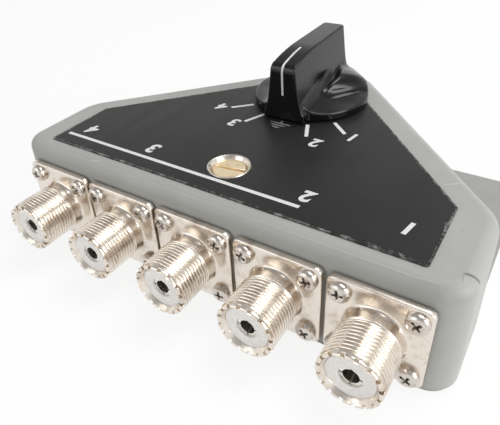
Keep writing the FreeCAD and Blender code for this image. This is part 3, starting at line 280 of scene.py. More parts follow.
def label_material():
    """Dark printed film: satin, with a fine grain, dust and faint scratches."""
    material, tree, shader = new_material("label_print")
    place = place_in_mm(tree)
    fine = noise(tree, place, 0.3, 3)
    cloud = noise(tree, place, 22, 3)
    colour = ramp(tree, cloud, [(0.3, PRINT_DARK), (0.7, PRINT_LIGHT)])
    scratches = noise(tree, place, 5, 5, 0.8, (1, 0.05, 1))
    colour = mix(tree, ramp(tree, scratches, [(0.66, 0.0), (0.72, 0.35)]), colour, PRINT_SCRATCH)
    dust = ramp(tree, noise(tree, place, 0.8, 2), [(0.74, 0.0), (0.80, 0.6)])
    tree.links.new(mix(tree, dust, colour, PRINT_DUST), shader.inputs["Base Color"])
    gloss(tree, shader, scratches, 0.35, 0.65, smooth=0.34, matte=0.46)
    shader.inputs["Specular IOR Level"].default_value = 0.28
    bump(tree, shader, [(fine, 0.02)])
    return material


def film_edge_material():
    """The clear film's bare margin round the print: grey, glossier, with cloudy patches."""
    material, tree, shader = new_material("label_film_edge")
    place = place_in_mm(tree)
    patch = noise(tree, place, 2.2, 4, 0.7)
    colour = ramp(tree, patch, [(0.44, FILM_CLEAR), (0.54, FILM_CLOUDY), (0.68, FILM_MILKY)])
    tree.links.new(colour, shader.inputs["Base Color"])
    gloss(tree, shader, patch, 0.3, 0.7, smooth=0.22, matte=0.40)
    bump(tree, shader, [(patch, 0.08)])
    return material


def ink_material(name, colour, worn, wear):
    """Print with hair-thin breaks, and worn patches where a noise is above the wear level."""
    material, tree, shader = new_material(name)
    place = place_in_mm(tree)
    speck = noise(tree, place, 0.35, 3, 0.7)
    patch = noise(tree, place, 2.4, 4, 0.7)
    broken = tuple(part * 0.86 for part in colour)
    base = ramp(tree, speck, [(0.3, colour), (0.75, broken)])
    base = mix(tree, ramp(tree, patch, [(wear, 0.0), (wear + 0.06, 1.0)]), base, worn)
    tree.links.new(base, shader.inputs["Base Color"])
    gloss(tree, shader, speck, 0.3, 0.7, smooth=0.42, matte=0.58)
    bump(tree, shader, [(speck, 0.01)])
    return material


def metal_material(name, light, dark, rough=(0.16, 0.34), stain=(0.55, 0.70), edge=0.12, grain=0.012,
                   blots=3.5, recess_shade=0.0):
    """Plated or bare metal with darker stains, uneven gloss, and painted shade that darkens its recesses.
    """
    material, tree, shader = new_material(name)
    shader.inputs["Metallic"].default_value = 1.0
    place = place_in_mm(tree)
    blot = noise(tree, place, blots, 5, 0.65)
    colour = ramp(tree, blot, [(stain[0], light), (stain[1], dark)])
    # Painted shade: darker where an ambient occlusion node finds a recess, as in a screw's cross recess
    if recess_shade:
        hollow = add(tree, "ShaderNodeAmbientOcclusion", samples=8, Distance=recess_shade * MM)
        recess_shade_share = ramp(tree, hollow.outputs["AO"], [(0.25, 1.0), (0.55, 0.0)])
        colour = mix(tree, recess_shade_share, colour, PAINTED_RECESS_SHADE)
    tree.links.new(colour, shader.inputs["Base Color"])
    fine = noise(tree, place, 0.5, 4, 0.7)
    gloss(tree, shader, fine, 0.3, 0.7, smooth=rough[0], matte=rough[1])
    bump(tree, shader, [(fine, grain)], edge=edge)
    return material


def plastic_material(name, light, dark, rough, specks=1.5, edge=0.1, grain=0.01, shine=0.5):
    """Moulded plastic or ceramic with faint clouds and uneven gloss."""
    material, tree, shader = new_material(name)
    shader.inputs["Specular IOR Level"].default_value = shine
    place = place_in_mm(tree)
    cloud = noise(tree, place, specks, 4)
    tree.links.new(ramp(tree, cloud, [(0.35, light), (0.7, dark)]), shader.inputs["Base Color"])
    fine = noise(tree, place, 0.4, 3)
    gloss(tree, shader, fine, 0.3, 0.7, smooth=rough[0], matte=rough[1])
    bump(tree, shader, [(fine, grain)], edge=edge)
    return material


SLOT_MATERIALS = {
    "casting": paint_material(),
    "base_sheet": sheet_material(),
    "label": label_material(),
    "socket_plating": metal_material(
        "socket_nickel", light=(0.80, 0.735, 0.655), dark=(0.47, 0.375, 0.30), rough=(0.22, 0.28),
        stain=(0.50, 0.78), edge=0.0, grain=0.004, blots=6.0),
    "contact_plating": metal_material("contact_silver", light=(0.80, 0.77, 0.72), dark=(0.55, 0.50, 0.42)),
    "white_insulator": plastic_material(
        "insulator_white", light=(0.95, 0.925, 0.89), dark=(0.90, 0.87, 0.83), rough=(0.22, 0.32)),
    # Screw heads: painted shade darkens their cross recesses
    "screw_plating": metal_material(
        "screw_nickel", light=(0.66, 0.61, 0.56), dark=(0.34, 0.28, 0.235), rough=(0.20, 0.30),
        grain=0.005, recess_shade=1.1),
    "knob_plastic": plastic_material(
        "knob_gloss", light=(0.0035, 0.0036, 0.0040), dark=(0.005, 0.005, 0.0055), rough=(0.13, 0.19),
        edge=0.0, shine=0.38),
    "plug_brass": metal_material(
        "plug_brass", light=(0.97, 0.81, 0.56), dark=(0.80, 0.62, 0.37), rough=(0.42, 0.52), grain=0.006),
    "plain_brass": metal_material("plain_brass", light=(0.80, 0.62, 0.32), dark=(0.56, 0.40, 0.18)),
    "contact_brass": metal_material("strip_silver", light=(0.80, 0.77, 0.70), dark=(0.50, 0.45, 0.38)),
    "steel": metal_material("plain_steel", light=(0.56, 0.56, 0.57), dark=(0.34, 0.33, 0.32)),
    "insulating_plastic": plastic_material(
        "hub_moulding", light=(0.72, 0.68, 0.56), dark=(0.62, 0.57, 0.45), rough=(0.45, 0.6)),
    "board": plastic_material(
        "laminate_board", light=(0.30, 0.18, 0.08), dark=(0.20, 0.11, 0.05), rough=(0.4, 0.55), specks=0.8),
    "ceramic": plastic_material(
        "tube_ceramic", light=(0.84, 0.82, 0.78), dark=(0.76, 0.73, 0.68), rough=(0.35, 0.5)),
    "electrode_metal": metal_material("electrode_metal", light=(0.70, 0.69, 0.67), dark=(0.45, 0.43, 0.40))}
INK = ink_material("white_ink", colour=(0.80, 0.80, 0.79), worn=(0.30, 0.30, 0.29), wear=0.72)
WORN_INK = ink_material("worn_ink", colour=(0.36, 0.36, 0.35), worn=(0.06, 0.06, 0.06), wear=0.52)
FILM_EDGE = film_edge_material()

for part in frame["record"]["subparts"]:
    mesh = frame["nodes"][part["node"]].data
    mesh.materials.clear()
    mesh.materials.append(SLOT_MATERIALS[part["material_slot"]])


# Mesh helpers

def add_piece(name, mesh, material, body, nodes=()):
    """A piece of the scene that rides on a body and may stand in for nodes of the solids."""
    mesh.materials.clear()
    mesh.materials.append(material)
    piece = bpy.data.objects.new(name, mesh)
    bpy.context.scene.collection.objects.link(piece)
    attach(piece, body)
    if nodes:
        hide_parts(*nodes)
    return piece


def mesh_from(name, points, faces, sharp=None, normals=None):
    """A mesh from millimetre points. Edges sharper than sharp degrees stay hard."""
    mesh = bpy.data.meshes.new(name)
    mesh.from_pydata((np.asarray(points, float) * MM).tolist(), [], np.asarray(faces).tolist())
    mesh.shade_smooth()
    if sharp:
        mesh.set_sharp_from_angle(angle=math.radians(sharp))
    if normals is not None:
        mesh.normals_split_custom_set_from_vertices(normals.tolist())
    mesh.update()
    return mesh


def torus_faces(rows, columns):
    """Quads of a grid that is closed both ways."""
    r, c = np.meshgrid(np.arange(rows), np.arange(columns), indexing="ij")
    next_r, next_c = (r + 1) % rows, (c + 1) % columns
    corners = [r * columns + c, r * columns + next_c, next_r * columns + next_c, next_r * columns + c]
    return np.stack(corners, -1).reshape(-1, 4)


def smooth_step(low, high, x):
    """0 below low, 1 above high, and a smooth rise between them."""
    t = np.clip((x - low) / (high - low), 0, 1)
    return t * t * (3 - 2 * t)


# Socket shells: flange, threaded barrel with a real helix, and a notched rim. Lengths run along the barrel
# from the flange's face.

FLANGE_HALF = 12.7
FLANGE_THICK = 1.6
FLANGE_CORNER = 2.0
FLANGE_ROUND = 0.3
FACE_FILLET_R = 8.9
REAR_BOSS_R = 7.3
REAR_END = -6.2
BARREL_LENGTH = 15.3
THREAD_R = 7.94
THREAD_DEPTH = 0.55
THREAD_PITCH = 1.058
THREAD_END = 14.25
ROWS_PER_PITCH = 12
NECK_R = 7.72
NECK_LENGTH = 3.1
BORE_R = 6.02
NOTCH_COUNT = 16
NOTCH_FLOOR = BARREL_LENGTH - 0.9
NOTCH_HALF_ANGLE = math.degrees(math.asin(0.475 / 7.5))
LAND_COLUMNS = 7

# Degrees that each barrel's notches are turned by
BARREL_TURNS = {"port_4": 7.0, "port_3": 11.3, "common": 2.0, "port_2": 19.9, "port_1": 24.2}

# Rows of (radius, length), and for the rim also (radius, length) within a notch
REAR_ROWS = ((BORE_R, REAR_END), (REAR_BOSS_R, REAR_END), (REAR_BOSS_R, -FLANGE_THICK))
FLANGE_ROWS = ((0, -FLANGE_THICK), (0, -0.3), (0.1, -0.1), (FLANGE_ROUND, 0))
FACE_SHARES = (0.4, 0.75)
FOOT_ROWS = ((8.6, 0.02), (8.22, 0.14), (7.96, 0.36), (NECK_R + 0.06, 0.75), (NECK_R, 1.6), (NECK_R, 2.7))
RIM_ROWS = (
    (7.91, NOTCH_FLOOR, 7.91, NOTCH_FLOOR - 0.04), (7.91, BARREL_LENGTH - 0.42, 7.86, NOTCH_FLOOR),
    (7.84, BARREL_LENGTH - 0.2, 7.78, NOTCH_FLOOR), (7.68, BARREL_LENGTH - 0.05, 7.66, NOTCH_FLOOR),
    (7.5, BARREL_LENGTH, 7.5, NOTCH_FLOOR), (7.15, BARREL_LENGTH, 7.15, NOTCH_FLOOR),
    (7.02, BARREL_LENGTH - 0.05, 6.96, NOTCH_FLOOR), (6.9, BARREL_LENGTH - 0.17, 6.84, NOTCH_FLOOR + 0.05),
    (6.8, BARREL_LENGTH - 0.3, 6.78, BARREL_LENGTH - 0.34))
MOUTH_ROWS = ((6.4, BARREL_LENGTH - 0.84), (6.08, BARREL_LENGTH - 1.26), (BORE_R, BARREL_LENGTH - 1.4),
              (BORE_R, 8.0))


def shell_columns():
    """Angles round the barrel, and whether each column lies in a notch."""
    sector = 360 / NOTCH_COUNT
    angles, notched = [], []
    for i in range(NOTCH_COUNT):
        middle = (i + 0.5) * sector
        start, end = middle + NOTCH_HALF_ANGLE, middle + sector - NOTCH_HALF_ANGLE
        angles += [middle - NOTCH_HALF_ANGLE, middle, start]
        notched += [True] * 3
        angles += np.linspace(start + 0.3, end - 0.3, LAND_COLUMNS).tolist()
        notched += [False] * LAND_COLUMNS
    return np.radians(np.array(angles)), np.array(notched)


def square_reach(angles, half, corner):
    """Distance from the middle of a rounded square to its edge."""
    c, s = np.abs(np.cos(angles)), np.abs(np.sin(angles))
    flat = half / np.maximum(c, s)
    straight = half - corner
    along = straight * (c + s)
    arc = along + np.sqrt(np.maximum(along ** 2 - 2 * straight * straight + corner ** 2, 0))
    return np.where(flat * np.minimum(c, s) > straight, arc, flat)


def thread_radius(w, angles):
    """The barrel's radius at a length and angles: neck, run-in, helical thread and run-out."""
    phase = ((w - NECK_LENGTH) / THREAD_PITCH - angles / TAU) % 1
    height = smooth_step(0.06, 0.40, np.abs(phase - 0.5))
    radius = THREAD_R - THREAD_DEPTH * (1 - height)
    run_in = smooth_step(NECK_LENGTH - 0.2, NECK_LENGTH + 1.1, w)
    run_out = smooth_step(THREAD_END - 0.35, THREAD_END, w)
    radius = NECK_R + (radius - NECK_R) * run_in
    return radius + (THREAD_R - 0.03 - radius) * run_out


def shell_points(spin):
    """The shell's closed skin as rows of (x, y, length) points round the barrel's axis."""
    angles, notched = shell_columns()
    edge = square_reach(angles + spin, FLANGE_HALF, FLANGE_CORNER)
    ones = np.ones_like(angles)
    rows = [(radius * ones, w * ones) for radius, w in REAR_ROWS]
    rows += [(edge - inset, w * ones) for inset, w in FLANGE_ROWS]
    face_edge = edge - FLANGE_ROUND
    rows += [(face_edge + (FACE_FILLET_R - face_edge) * share, 0 * ones) for share in FACE_SHARES]
    rows += [(radius * ones, w * ones) for radius, w in FOOT_ROWS]
    for w in np.arange(NECK_LENGTH - 0.2, THREAD_END + 0.001, THREAD_PITCH / ROWS_PER_PITCH):
        rows.append((thread_radius(w, angles), w * ones))
    for radius, w, notch_radius, notch_w in RIM_ROWS:
        rows.append((np.where(notched, notch_radius, radius), np.where(notched, notch_w, w)))
    rows += [(radius * ones, w * ones) for radius, w in MOUTH_ROWS]
    r = np.array([radius for radius, _ in rows])
    w = np.array([length for _, length in rows])
    turned = angles + spin
    return np.stack([r * np.cos(turned), r * np.sin(turned), w], -1)


def add_shells():
    for port, x in PORT_XS.items():
        grid = shell_points(math.radians(BARREL_TURNS[port]))
        rows, columns, _ = grid.shape
        flat = grid.reshape(-1, 3)
        points = np.stack([x + flat[:, 0], FLANGE_FACE_Y - flat[:, 2], SOCKET_AXIS_Z + flat[:, 1]], -1)
        name = port + "_shell_skin"
        mesh = mesh_from(name, points, torus_faces(rows, columns)[:, ::-1], sharp=38)
        add_piece(name, mesh, SLOT_MATERIALS["socket_plating"], "case", [port + "_shell"])


# Surge plug: a ring with a wide inner bevel, and a slotted cap with a threaded body

RING_TOP = 34.2
RING_PROFILE = [
    (5.03, 23.8), (6.3, 23.8), (6.3, 33.4), (6.45, 33.42), (6.45, 34.02), (6.38, 34.14), (6.24, RING_TOP),
    (6.02, RING_TOP), (5.90, 34.14), (5.78, 33.98), (5.16, 33.2), (5.03, 33.0)]
PLUG_TOP = 33.3
PLUG_R = 4.95
PLUG_ROOT_R = 4.5
PLUG_FOOT = [(0, 28.2), (4.05, 28.2), (4.05, 24.8), (4.45, 24.8)]
PLUG_THREAD_START = 25.0
PLUG_THREAD_END = 31.0
PLUG_PITCH = 1.27
PLUG_NECK_R = 4.6
CAP_R = PLUG_R - 0.05
SLOT_FLOOR = PLUG_TOP - 1.5
SLOT_HALF = 0.5
SLOT_TURN = math.radians(10.0)
CAP_ARC_STEPS = 40


def revolved(name, profile, y, columns=72):
    """A closed solid of revolution on the middle line, from (radius, height) points. A profile that doesn't
    start on the axis is closed from its last point to its first."""
    closed = profile[0][0] > 0
    rows = len(profile)
    points = [(r * math.cos(TAU * c / columns), y + r * math.sin(TAU * c / columns), z)
              for r, z in profile for c in range(columns)]
    faces = []
    for i in range(rows if closed else rows - 1):
        j = (i + 1) % rows
        for c in range(columns):
            d = (c + 1) % columns
            faces.append((i * columns + c, i * columns + d, j * columns + d, j * columns + c))
    mesh = bpy.data.meshes.new(name)
    mesh.from_pydata([tuple(v * MM for v in point) for point in points], [], faces)
    shape = bmesh.new()
    shape.from_mesh(mesh)
    bmesh.ops.remove_doubles(shape, verts=shape.verts, dist=1e-7)
    bmesh.ops.recalc_face_normals(shape, faces=shape.faces)
    shape.to_mesh(mesh)
    shape.free()
    mesh.shade_smooth()
    mesh.set_sharp_from_angle(angle=math.radians(35))
    return mesh


def add_plug_ring():
    mesh = revolved("plug_ring_skin", RING_PROFILE, PLUG_Y)
    add_piece("plug_ring_skin", mesh, SLOT_MATERIALS["socket_plating"], "case",
              ["plug_sleeve"])


def add_plug_body():
    """The plug below its slot, with thread grooves and a hollow for the gas tube."""
    profile = list(PLUG_FOOT)
    z = PLUG_THREAD_START
    while z < PLUG_THREAD_END:
        profile += [(PLUG_ROOT_R, z), (PLUG_R, z + 0.45), (PLUG_R, z + 0.75), (PLUG_ROOT_R, z + 1.2)]
        z += PLUG_PITCH
    profile += [(PLUG_NECK_R, SLOT_FLOOR - 0.1), (PLUG_NECK_R, SLOT_FLOOR), (0, SLOT_FLOOR)]
    mesh = revolved("plug_body_skin", profile, PLUG_Y)
    add_piece("plug_body_skin", mesh, SLOT_MATERIALS["plug_brass"], "surge_cap", ["plug_cap"])


def add_plug_top():
    """The two halves of the cap on both sides of its slot."""
    start = math.asin(SLOT_HALF / CAP_R)
    arc = [start + (math.pi - 2 * start) * i / CAP_ARC_STEPS for i in range(CAP_ARC_STEPS + 1)]
    halves = []
    for turn in (SLOT_TURN, SLOT_TURN + math.pi):
        halves.append([(CAP_R * math.cos(a + turn), PLUG_Y + CAP_R * math.sin(a + turn)) for a in arc])
    mesh = outline_mesh("plug_top_skin", halves, SLOT_FLOOR - 0.05, PLUG_TOP, bevel=0.2)
    add_piece("plug_top_skin", mesh, SLOT_MATERIALS["plug_brass"], "surge_cap", ["plug_cap"])


# Knob: one smooth surface where a field is zero. Heights are above the label, and y runs from the knob's
# front to its back. Each field is about the distance to its surface, and is negative inside.

KNOB_R = 19.7
KNOB_GAP = 0.45
RIM_ROUND = 0.45
BOTTOM_ROUND = 0.3
DOME_R = 20.3
DOME_RISE = 7.5
DOME_BASE = 2.8

# The mound between scoop and blade: its wall towards the scoop is a plane through a point
SCOOP_WALL_THROUGH = (7.9, -6.6, 4.2)
SCOOP_WALL_LEAN = (0.845, -0.535, 0.22)
SCOOP_WALL_SCALE = 1.024
SCOOP_WALL_ROUND = 3.4
BLADE_WALL_LEAN = 0.40
BLADE_WALL_Z = 6.5
BLADE_WALL_SCALE = 1.077
BLADE_WALL_ROUND = 1.6
MOUND_FOOT_ROUND = 1.5

# Values along the knob: the value at its front, and (change, from y, to y) steps
BLADE_WALL_X = (7.5, ((-3.6, 0.0, 12.0), (-9.0, 9.5, 16.0)))
CREASE_Z = (5.0, ((5.2, -27.0, 5.0), (-3.0, 3.0, 15.4)))
VALLEY_Z = (3.1, ((1.4, -18.0, -6.0), (3.0, -6.0, 3.0)))
BLADE_FILLET = (0.3, ((1.3, 6.0, 18.0),))

# The scoops' floor, which rises to a crease along the blade's flank
SCOOP_FLOOR = 2.75
VALLEY_X = 6.5
VALLEY_FADE = 4.5
FLANK_X = 6.3
FLANK_NARROWING = 1.1
FLANK_FRONT_Y = -20.0
FLANK_RUN = 21.0
FLANK_OVERLAP = 0.6
CREASE_FADE = 1.9
CREASE_SLOPE = 1.8
CREASE_SLOPE_FADE = 1.8

# The blade
BLADE_TOP = 22.0
BLADE_HALF = 3.95
SIDE_LEAN = 0.10
SIDE_SCALE = 0.99
FLARE_TOP = 3.0
FLARE_FADE = 2.5
SIDE_FLARE = 1.5
BACK_FLARE = 1.2
FRONT_Y = 20.7
FRONT_LEAN = 0.8
FRONT_FOOT_Z = 3.6
BACK_Y = 17.3
BACK_LEAN = 0.9
LEAN_HEIGHT = 18.4
CREST_Z = 21.7
CREST_FALL = 0.5
CREST_BACK_Y = 15.0
CREST_RUN = 36.0
DROOP = 1.9
DROOP_START_Y = -5.0
DROOP_RUN = 15.0
DROOP_LIMIT = 1.2
BACK_ROUND = 1.6
RIM_CUT_ROUND = 0.5
FRONT_ROUND = 0.6
CREST_ROUND = 0.45
NOSE_CUT = 1.0
NOSE_SCALE = 0.7
NOSE_ROUND = 0.7
WELL_INSIDE = -9.0

SHAFT_HOLES = ((8.2, 5.4), (4.52, 10.8), (3.23, 12.55))
SET_SCREW_Z = 8.1
SET_SCREW_HOLE_R = 1.62

NET_LOW = (-20.5, -22.5, -0.4)
NET_HIGH = (20.5, 20.5, 22.8)
NET_STEP = 0.42
FIELD_STEP = 0.02
LEAST_SLOPE = 0.05


def round_max(a, b, r):
    """Where both solids are, with the edge between them rounded by r."""
    return np.minimum(np.maximum(a, b), -r) + np.hypot(np.maximum(a + r, 0), np.maximum(b + r, 0))


def round_min(a, b, r):
    """Where either solid is, with the corner between them filled by r."""
    return np.maximum(np.minimum(a, b), r) - np.hypot(np.maximum(r - a, 0), np.maximum(r - b, 0))


def along_knob(profile, y):
    value, steps = profile
    for change, low, high in steps:
        value = value + change * smooth_step(low, high, y)
    return value


def mound_field(side_x, y, z, r, crown, root):
    """The mound: the dome, cut by a wall towards the scoop and by one towards the blade."""
    slope = DOME_RISE * r / DOME_R ** 2 / np.maximum(root, 0.2)
    dome = (z - crown) / np.sqrt(1 + slope ** 2)
    lean = zip(SCOOP_WALL_LEAN, (side_x, y, z), SCOOP_WALL_THROUGH)
    scoop_wall = sum(share * (place - through) for share, place, through in lean) / SCOOP_WALL_SCALE
    blade_wall = along_knob(BLADE_WALL_X, y) - side_x + BLADE_WALL_LEAN * (z - BLADE_WALL_Z)
    mound = round_max(dome, scoop_wall, SCOOP_WALL_ROUND)
    return round_max(mound, blade_wall / BLADE_WALL_SCALE, BLADE_WALL_ROUND)


def scoop_field(side_x, y, z, crown):
    """The scoops' floor beside the blade, with the crease that runs up the blade's flank."""
    crease = along_knob(CREASE_Z, y)
    valley = along_knob(VALLEY_Z, y)
    narrowing = FLANK_NARROWING * np.clip((y - FLANK_FRONT_Y) / FLANK_RUN, 0, 1)
    from_flank = np.maximum(side_x - FLANK_X + narrowing, -FLANK_OVERLAP)
    from_valley = np.maximum(side_x - VALLEY_X, 0)
    floor = np.minimum(SCOOP_FLOOR + (valley - SCOOP_FLOOR) * np.exp(-from_valley / VALLEY_FADE), crown)
    floor = floor + np.maximum(crease - valley, 0) * np.exp(-from_flank / CREASE_FADE)
    slope = CREASE_SLOPE * np.exp(-np.maximum(from_flank, 0) / CREASE_SLOPE_FADE)
    return (z - floor) / np.sqrt(1 + slope)


def skirt_field(x, y, z):
    """The round skirt: low concave scoops beside the blade, and a dome that rises behind them."""
    r = np.hypot(x, y)
    root = np.sqrt(np.maximum(1 - (r / DOME_R) ** 2, 0.0))
    crown = DOME_BASE + DOME_RISE * root
    mound = mound_field(np.abs(x), y, z, r, crown, root)
    field = round_min(scoop_field(np.abs(x), y, z, crown), mound, MOUND_FOOT_ROUND)
    return round_max(field, r - KNOB_R, RIM_ROUND)


def blade_field(x, y, z):
    """The blade: leaning sides that flare at the foot, and a top that droops towards its front."""
    flare = np.exp(-np.maximum(z - FLARE_TOP, 0.0) / FLARE_FADE)
    half = BLADE_HALF + SIDE_LEAN * (BLADE_TOP - z) + SIDE_FLARE * flare
    side = (np.abs(x) - half) * SIDE_SCALE
    front = -y - FRONT_Y - FRONT_LEAN * (z - FRONT_FOOT_Z) / LEAN_HEIGHT
    back = y - BACK_Y - BACK_LEAN * (BLADE_TOP - z) / LEAN_HEIGHT - BACK_FLARE * flare
    droop = DROOP * np.clip((DROOP_START_Y - y) / DROOP_RUN, 0, DROOP_LIMIT) ** 2
    top = z - CREST_Z + CREST_FALL * (CREST_BACK_Y - y) / CREST_RUN + droop
    rim = np.where(y > 0, np.hypot(x, y) - KNOB_R, WELL_INSIDE)
    plan = round_max(round_max(side, back, BACK_ROUND), rim, RIM_CUT_ROUND)
    blade = round_max(round_max(plan, front, FRONT_ROUND), top, CREST_ROUND)
    return round_max(blade, (top + front + NOSE_CUT) * NOSE_SCALE, NOSE_ROUND)


def knob_field(p):
    x, y, z = p[..., 0], p[..., 1], p[..., 2]
    field = round_min(skirt_field(x, y, z), blade_field(x, y, z), along_knob(BLADE_FILLET, y))
    field = round_max(field, KNOB_GAP - z, BOTTOM_ROUND)
    r = np.hypot(x, y)
    for hole_r, hole_top in SHAFT_HOLES:
        field = np.maximum(field, -np.maximum(r - hole_r, z - hole_top))
    screw_hole = np.maximum(np.hypot(x, z - SET_SCREW_Z) - SET_SCREW_HOLE_R, -y)
    return np.maximum(field, -screw_hole)


def field_slope(field_at, p):
    """The direction in which the field grows at each point."""
    steps = np.eye(3) * FIELD_STEP
    return np.stack([field_at(p + s) - field_at(p - s) for s in steps], -1) / (2 * FIELD_STEP)


def surface_net(field_at, low, high, step):
    """Quads round the zero level of a field, with each vertex moved onto the surface."""
    axes = [np.arange(a, b + step, step) for a, b in zip(low, high)]
    grid = np.stack(np.meshgrid(*axes, indexing="ij"), -1)
    value = field_at(grid)
    inside = value < 0
    cells = [n - 1 for n in value.shape]
    corners = [(i, j, k) for i in (0, 1) for j in (0, 1) for k in (0, 1)]

    def pick(values, corner):
        """The values at one corner of every cell."""
        i, j, k = corner
        return values[i:i + cells[0], j:j + cells[1], k:k + cells[2]]

    count = sum(pick(inside, corner).astype(int) for corner in corners)
    active = (count > 0) & (count < 8)
    number = np.full(active.shape, -1)
    number[active] = np.arange(active.sum())
    total = np.zeros((active.sum(), 3))
    weight = np.zeros(active.sum())
    for a in corners:
        for axis in range(3):
            if a[axis]:
                continue
            b = tuple(v + (1 if n == axis else 0) for n, v in enumerate(a))
            va, vb = pick(value, a)[active], pick(value, b)[active]
            crossing = (va < 0) != (vb < 0)
            share = va[crossing] / (va[crossing] - vb[crossing])
            pa, pb = pick(grid, a)[active][crossing], pick(grid, b)[active][crossing]
            total[crossing] += pa + (pb - pa) * share[:, None]
            weight[crossing] += 1
    points = total / weight[:, None]
    for _ in range(3):
        slope = field_slope(field_at, points)
        steepness = np.maximum((slope ** 2).sum(-1), LEAST_SLOPE)
        points = points - slope * (field_at(points) / steepness)[:, None]
    normals = field_slope(field_at, points)
    normals /= np.linalg.norm(normals, axis=-1, keepdims=True) + 1e-9
    faces = [net_quads(axis, inside, number, cells) for axis in range(3)]
    return points, np.concatenate(faces), normals


def net_quads(axis, inside, number, cells):
    """A quad round each grid edge along one axis that crosses the surface, facing outwards."""
    u, v = [a for a in range(3) if a != axis]
    start = [slice(1, n) for n in cells]
    start[axis] = slice(0, cells[axis])
    here = inside[tuple(start)]
    ahead = list(start)
    ahead[axis] = slice(1, cells[axis] + 1)
    there = inside[tuple(ahead)]
    change = np.argwhere(here != there)
    base = change + np.array([1 if n != axis else 0 for n in range(3)])
    step_u, step_v = np.eye(3, dtype=int)[u], np.eye(3, dtype=int)[v]
    ring = [base - step_u - step_v, base - step_v, base, base - step_u]
    quad = np.stack([number[tuple(q.T)] for q in ring], -1)
    outward = here[tuple(change.T)]
    if axis == 1:
        outward = ~outward
    quad[~outward] = quad[~outward][:, ::-1]
    return quad


def add_knob():
    points, faces, normals = surface_net(knob_field, NET_LOW, NET_HIGH, NET_STEP)
    points = points + np.array([0, 0, LABEL_TOP])
    mesh = mesh_from("knob_skin", points, faces, normals=normals)
    add_piece("knob_skin", mesh, SLOT_MATERIALS["knob_plastic"], "selector", ["knob"])


# The knob's white line: (y, height) stretches near the blade's top, round its nose and down its front
LINE_TOP = ((-8.8, 21.4), (-19.4, 21.4), 14)
LINE_NOSE = ((-19.7, 20.4), (-21.4, 18.4), 16)
LINE_FRONT = ((-21.5, 18.0), (-21.5, 9.2), 10)
LINE_HALF = 0.36
LINE_SUNK = 0.1
LINE_EDGE = 0.03
LINE_CROWN = 0.045


def line_centre():
    """The line's middle on the blade's surface."""
    stretches = [np.linspace((0.0, *start), (0.0, *end), count)
                 for start, end, count in (LINE_TOP, LINE_NOSE, LINE_FRONT)]
    centre = np.concatenate(stretches)
    for _ in range(6):
        slope = field_slope(knob_field, centre)
        slope[:, 0] = 0
        steepness = np.maximum((slope ** 2).sum(-1), LEAST_SLOPE)
        centre = centre - slope * (knob_field(centre) / steepness)[:, None]
    return centre


def add_knob_line():
    """The knob's white line, laid on the top and the front of the blade."""
    centre = line_centre()
    along = np.gradient(centre, axis=0)
    out = np.stack([along[:, 0], along[:, 2], -along[:, 1]], -1)
    out /= np.linalg.norm(out, axis=1, keepdims=True)
    if out[0, 2] < 0:
        out = -out
    side = np.array([LINE_HALF, 0, 0])
    across = [centre - side - out * LINE_SUNK, centre - side + out * LINE_EDGE, centre + out * LINE_CROWN,
              centre + side + out * LINE_EDGE, centre + side - out * LINE_SUNK]
    points = np.stack(across, 1) + np.array([0, 0, LABEL_TOP])
    n, k, _ = points.shape
    faces = [[i * k + j, i * k + (j + 1) % k, (i + 1) * k + (j + 1) % k, (i + 1) * k + j]
             for i in range(n - 1) for j in range(k)]
    faces.append(list(range(k))[::-1])
    faces.append(list(range((n - 1) * k, n * k)))
    mesh = bpy.data.meshes.new("knob_line")
    mesh.from_pydata((points.reshape(-1, 3) * MM).tolist(), [], faces)
    mesh.shade_smooth()
    mesh.set_sharp_from_angle(angle=math.radians(40))
    add_piece("knob_line", mesh, INK, "selector")


# Label: film, print and marks, as flat filled outlines

LABEL_CORNERS = [(60.9, -65.7), (60.9, -41.31), (4.07, 21.9), (-4.07, 21.9), (-60.9, -41.31),
                 (-60.9, -65.7)]
FILM_CORNER_R = 1.0
FILM_BELOW_PRINT = 0.03
PRINT_INSET = 0.55
PRINT_CORNER_R = 0.8
PRINT_DEPTH = 0.2
SHAFT_HOLE_R = 7.5
PLUG_HOLE_R = 6.6
PRINT_HOLE_GAP = 0.1

# Wear along the print's edge
EDGE_SPACING = 0.8
EDGE_BITE = 0.3
EDGE_CHANCE = 0.3
EDGE_ROUGHNESS = 0.03
CHIP = [(60.3, -50.9), (58.6, -49.2), (60.3, -48.3)]
CHIP_FROM_X = 59.8
FRONT_WEAR_Y = -64.6
FRONT_WEAR_X = (36.0, 46.0)
FRONT_WEAR_DEPTH = 0.45
FRONT_WEAR_SPREAD = 0.8


def outline_mesh(name, loops, bottom, top, bevel=0.0):
    """A plate between two heights from closed outlines. Outlines inside others are holes."""
    curve = bpy.data.curves.new(name, "CURVE")
    curve.dimensions = "2D"
    curve.fill_mode = "BOTH"
    curve.extrude = (top - bottom) / 2 * MM - bevel * MM
    curve.bevel_depth = bevel * MM
    curve.bevel_resolution = 2
    curve.offset = -bevel * MM
    for loop in loops:
        spline = curve.splines.new("POLY")
        spline.points.add(len(loop) - 1)
        spline.points.foreach_set("co", np.array([(px * MM, py * MM, 0, 1) for px, py in loop]).ravel())
        spline.use_cyclic_u = True
    carrier = bpy.data.objects.new(name, curve)
    mesh = bpy.data.meshes.new_from_object(carrier)
    bpy.data.objects.remove(carrier)
    bpy.data.curves.remove(curve)
    mesh.transform(Matrix.Translation((0, 0, (top + bottom) / 2 * MM)))
    mesh.name = name
    return mesh


def circle(x, y, r, count=64):
    return [(x + r * math.cos(TAU * i / count), y + r * math.sin(TAU * i / count)) for i in range(count)]


def label_holes(gap):
    """The holes for the selector's bushing and the plug's ring, wider by gap."""
    return [circle(0, 0, SHAFT_HOLE_R + gap), circle(0, PLUG_Y, PLUG_HOLE_R + gap, 96)]


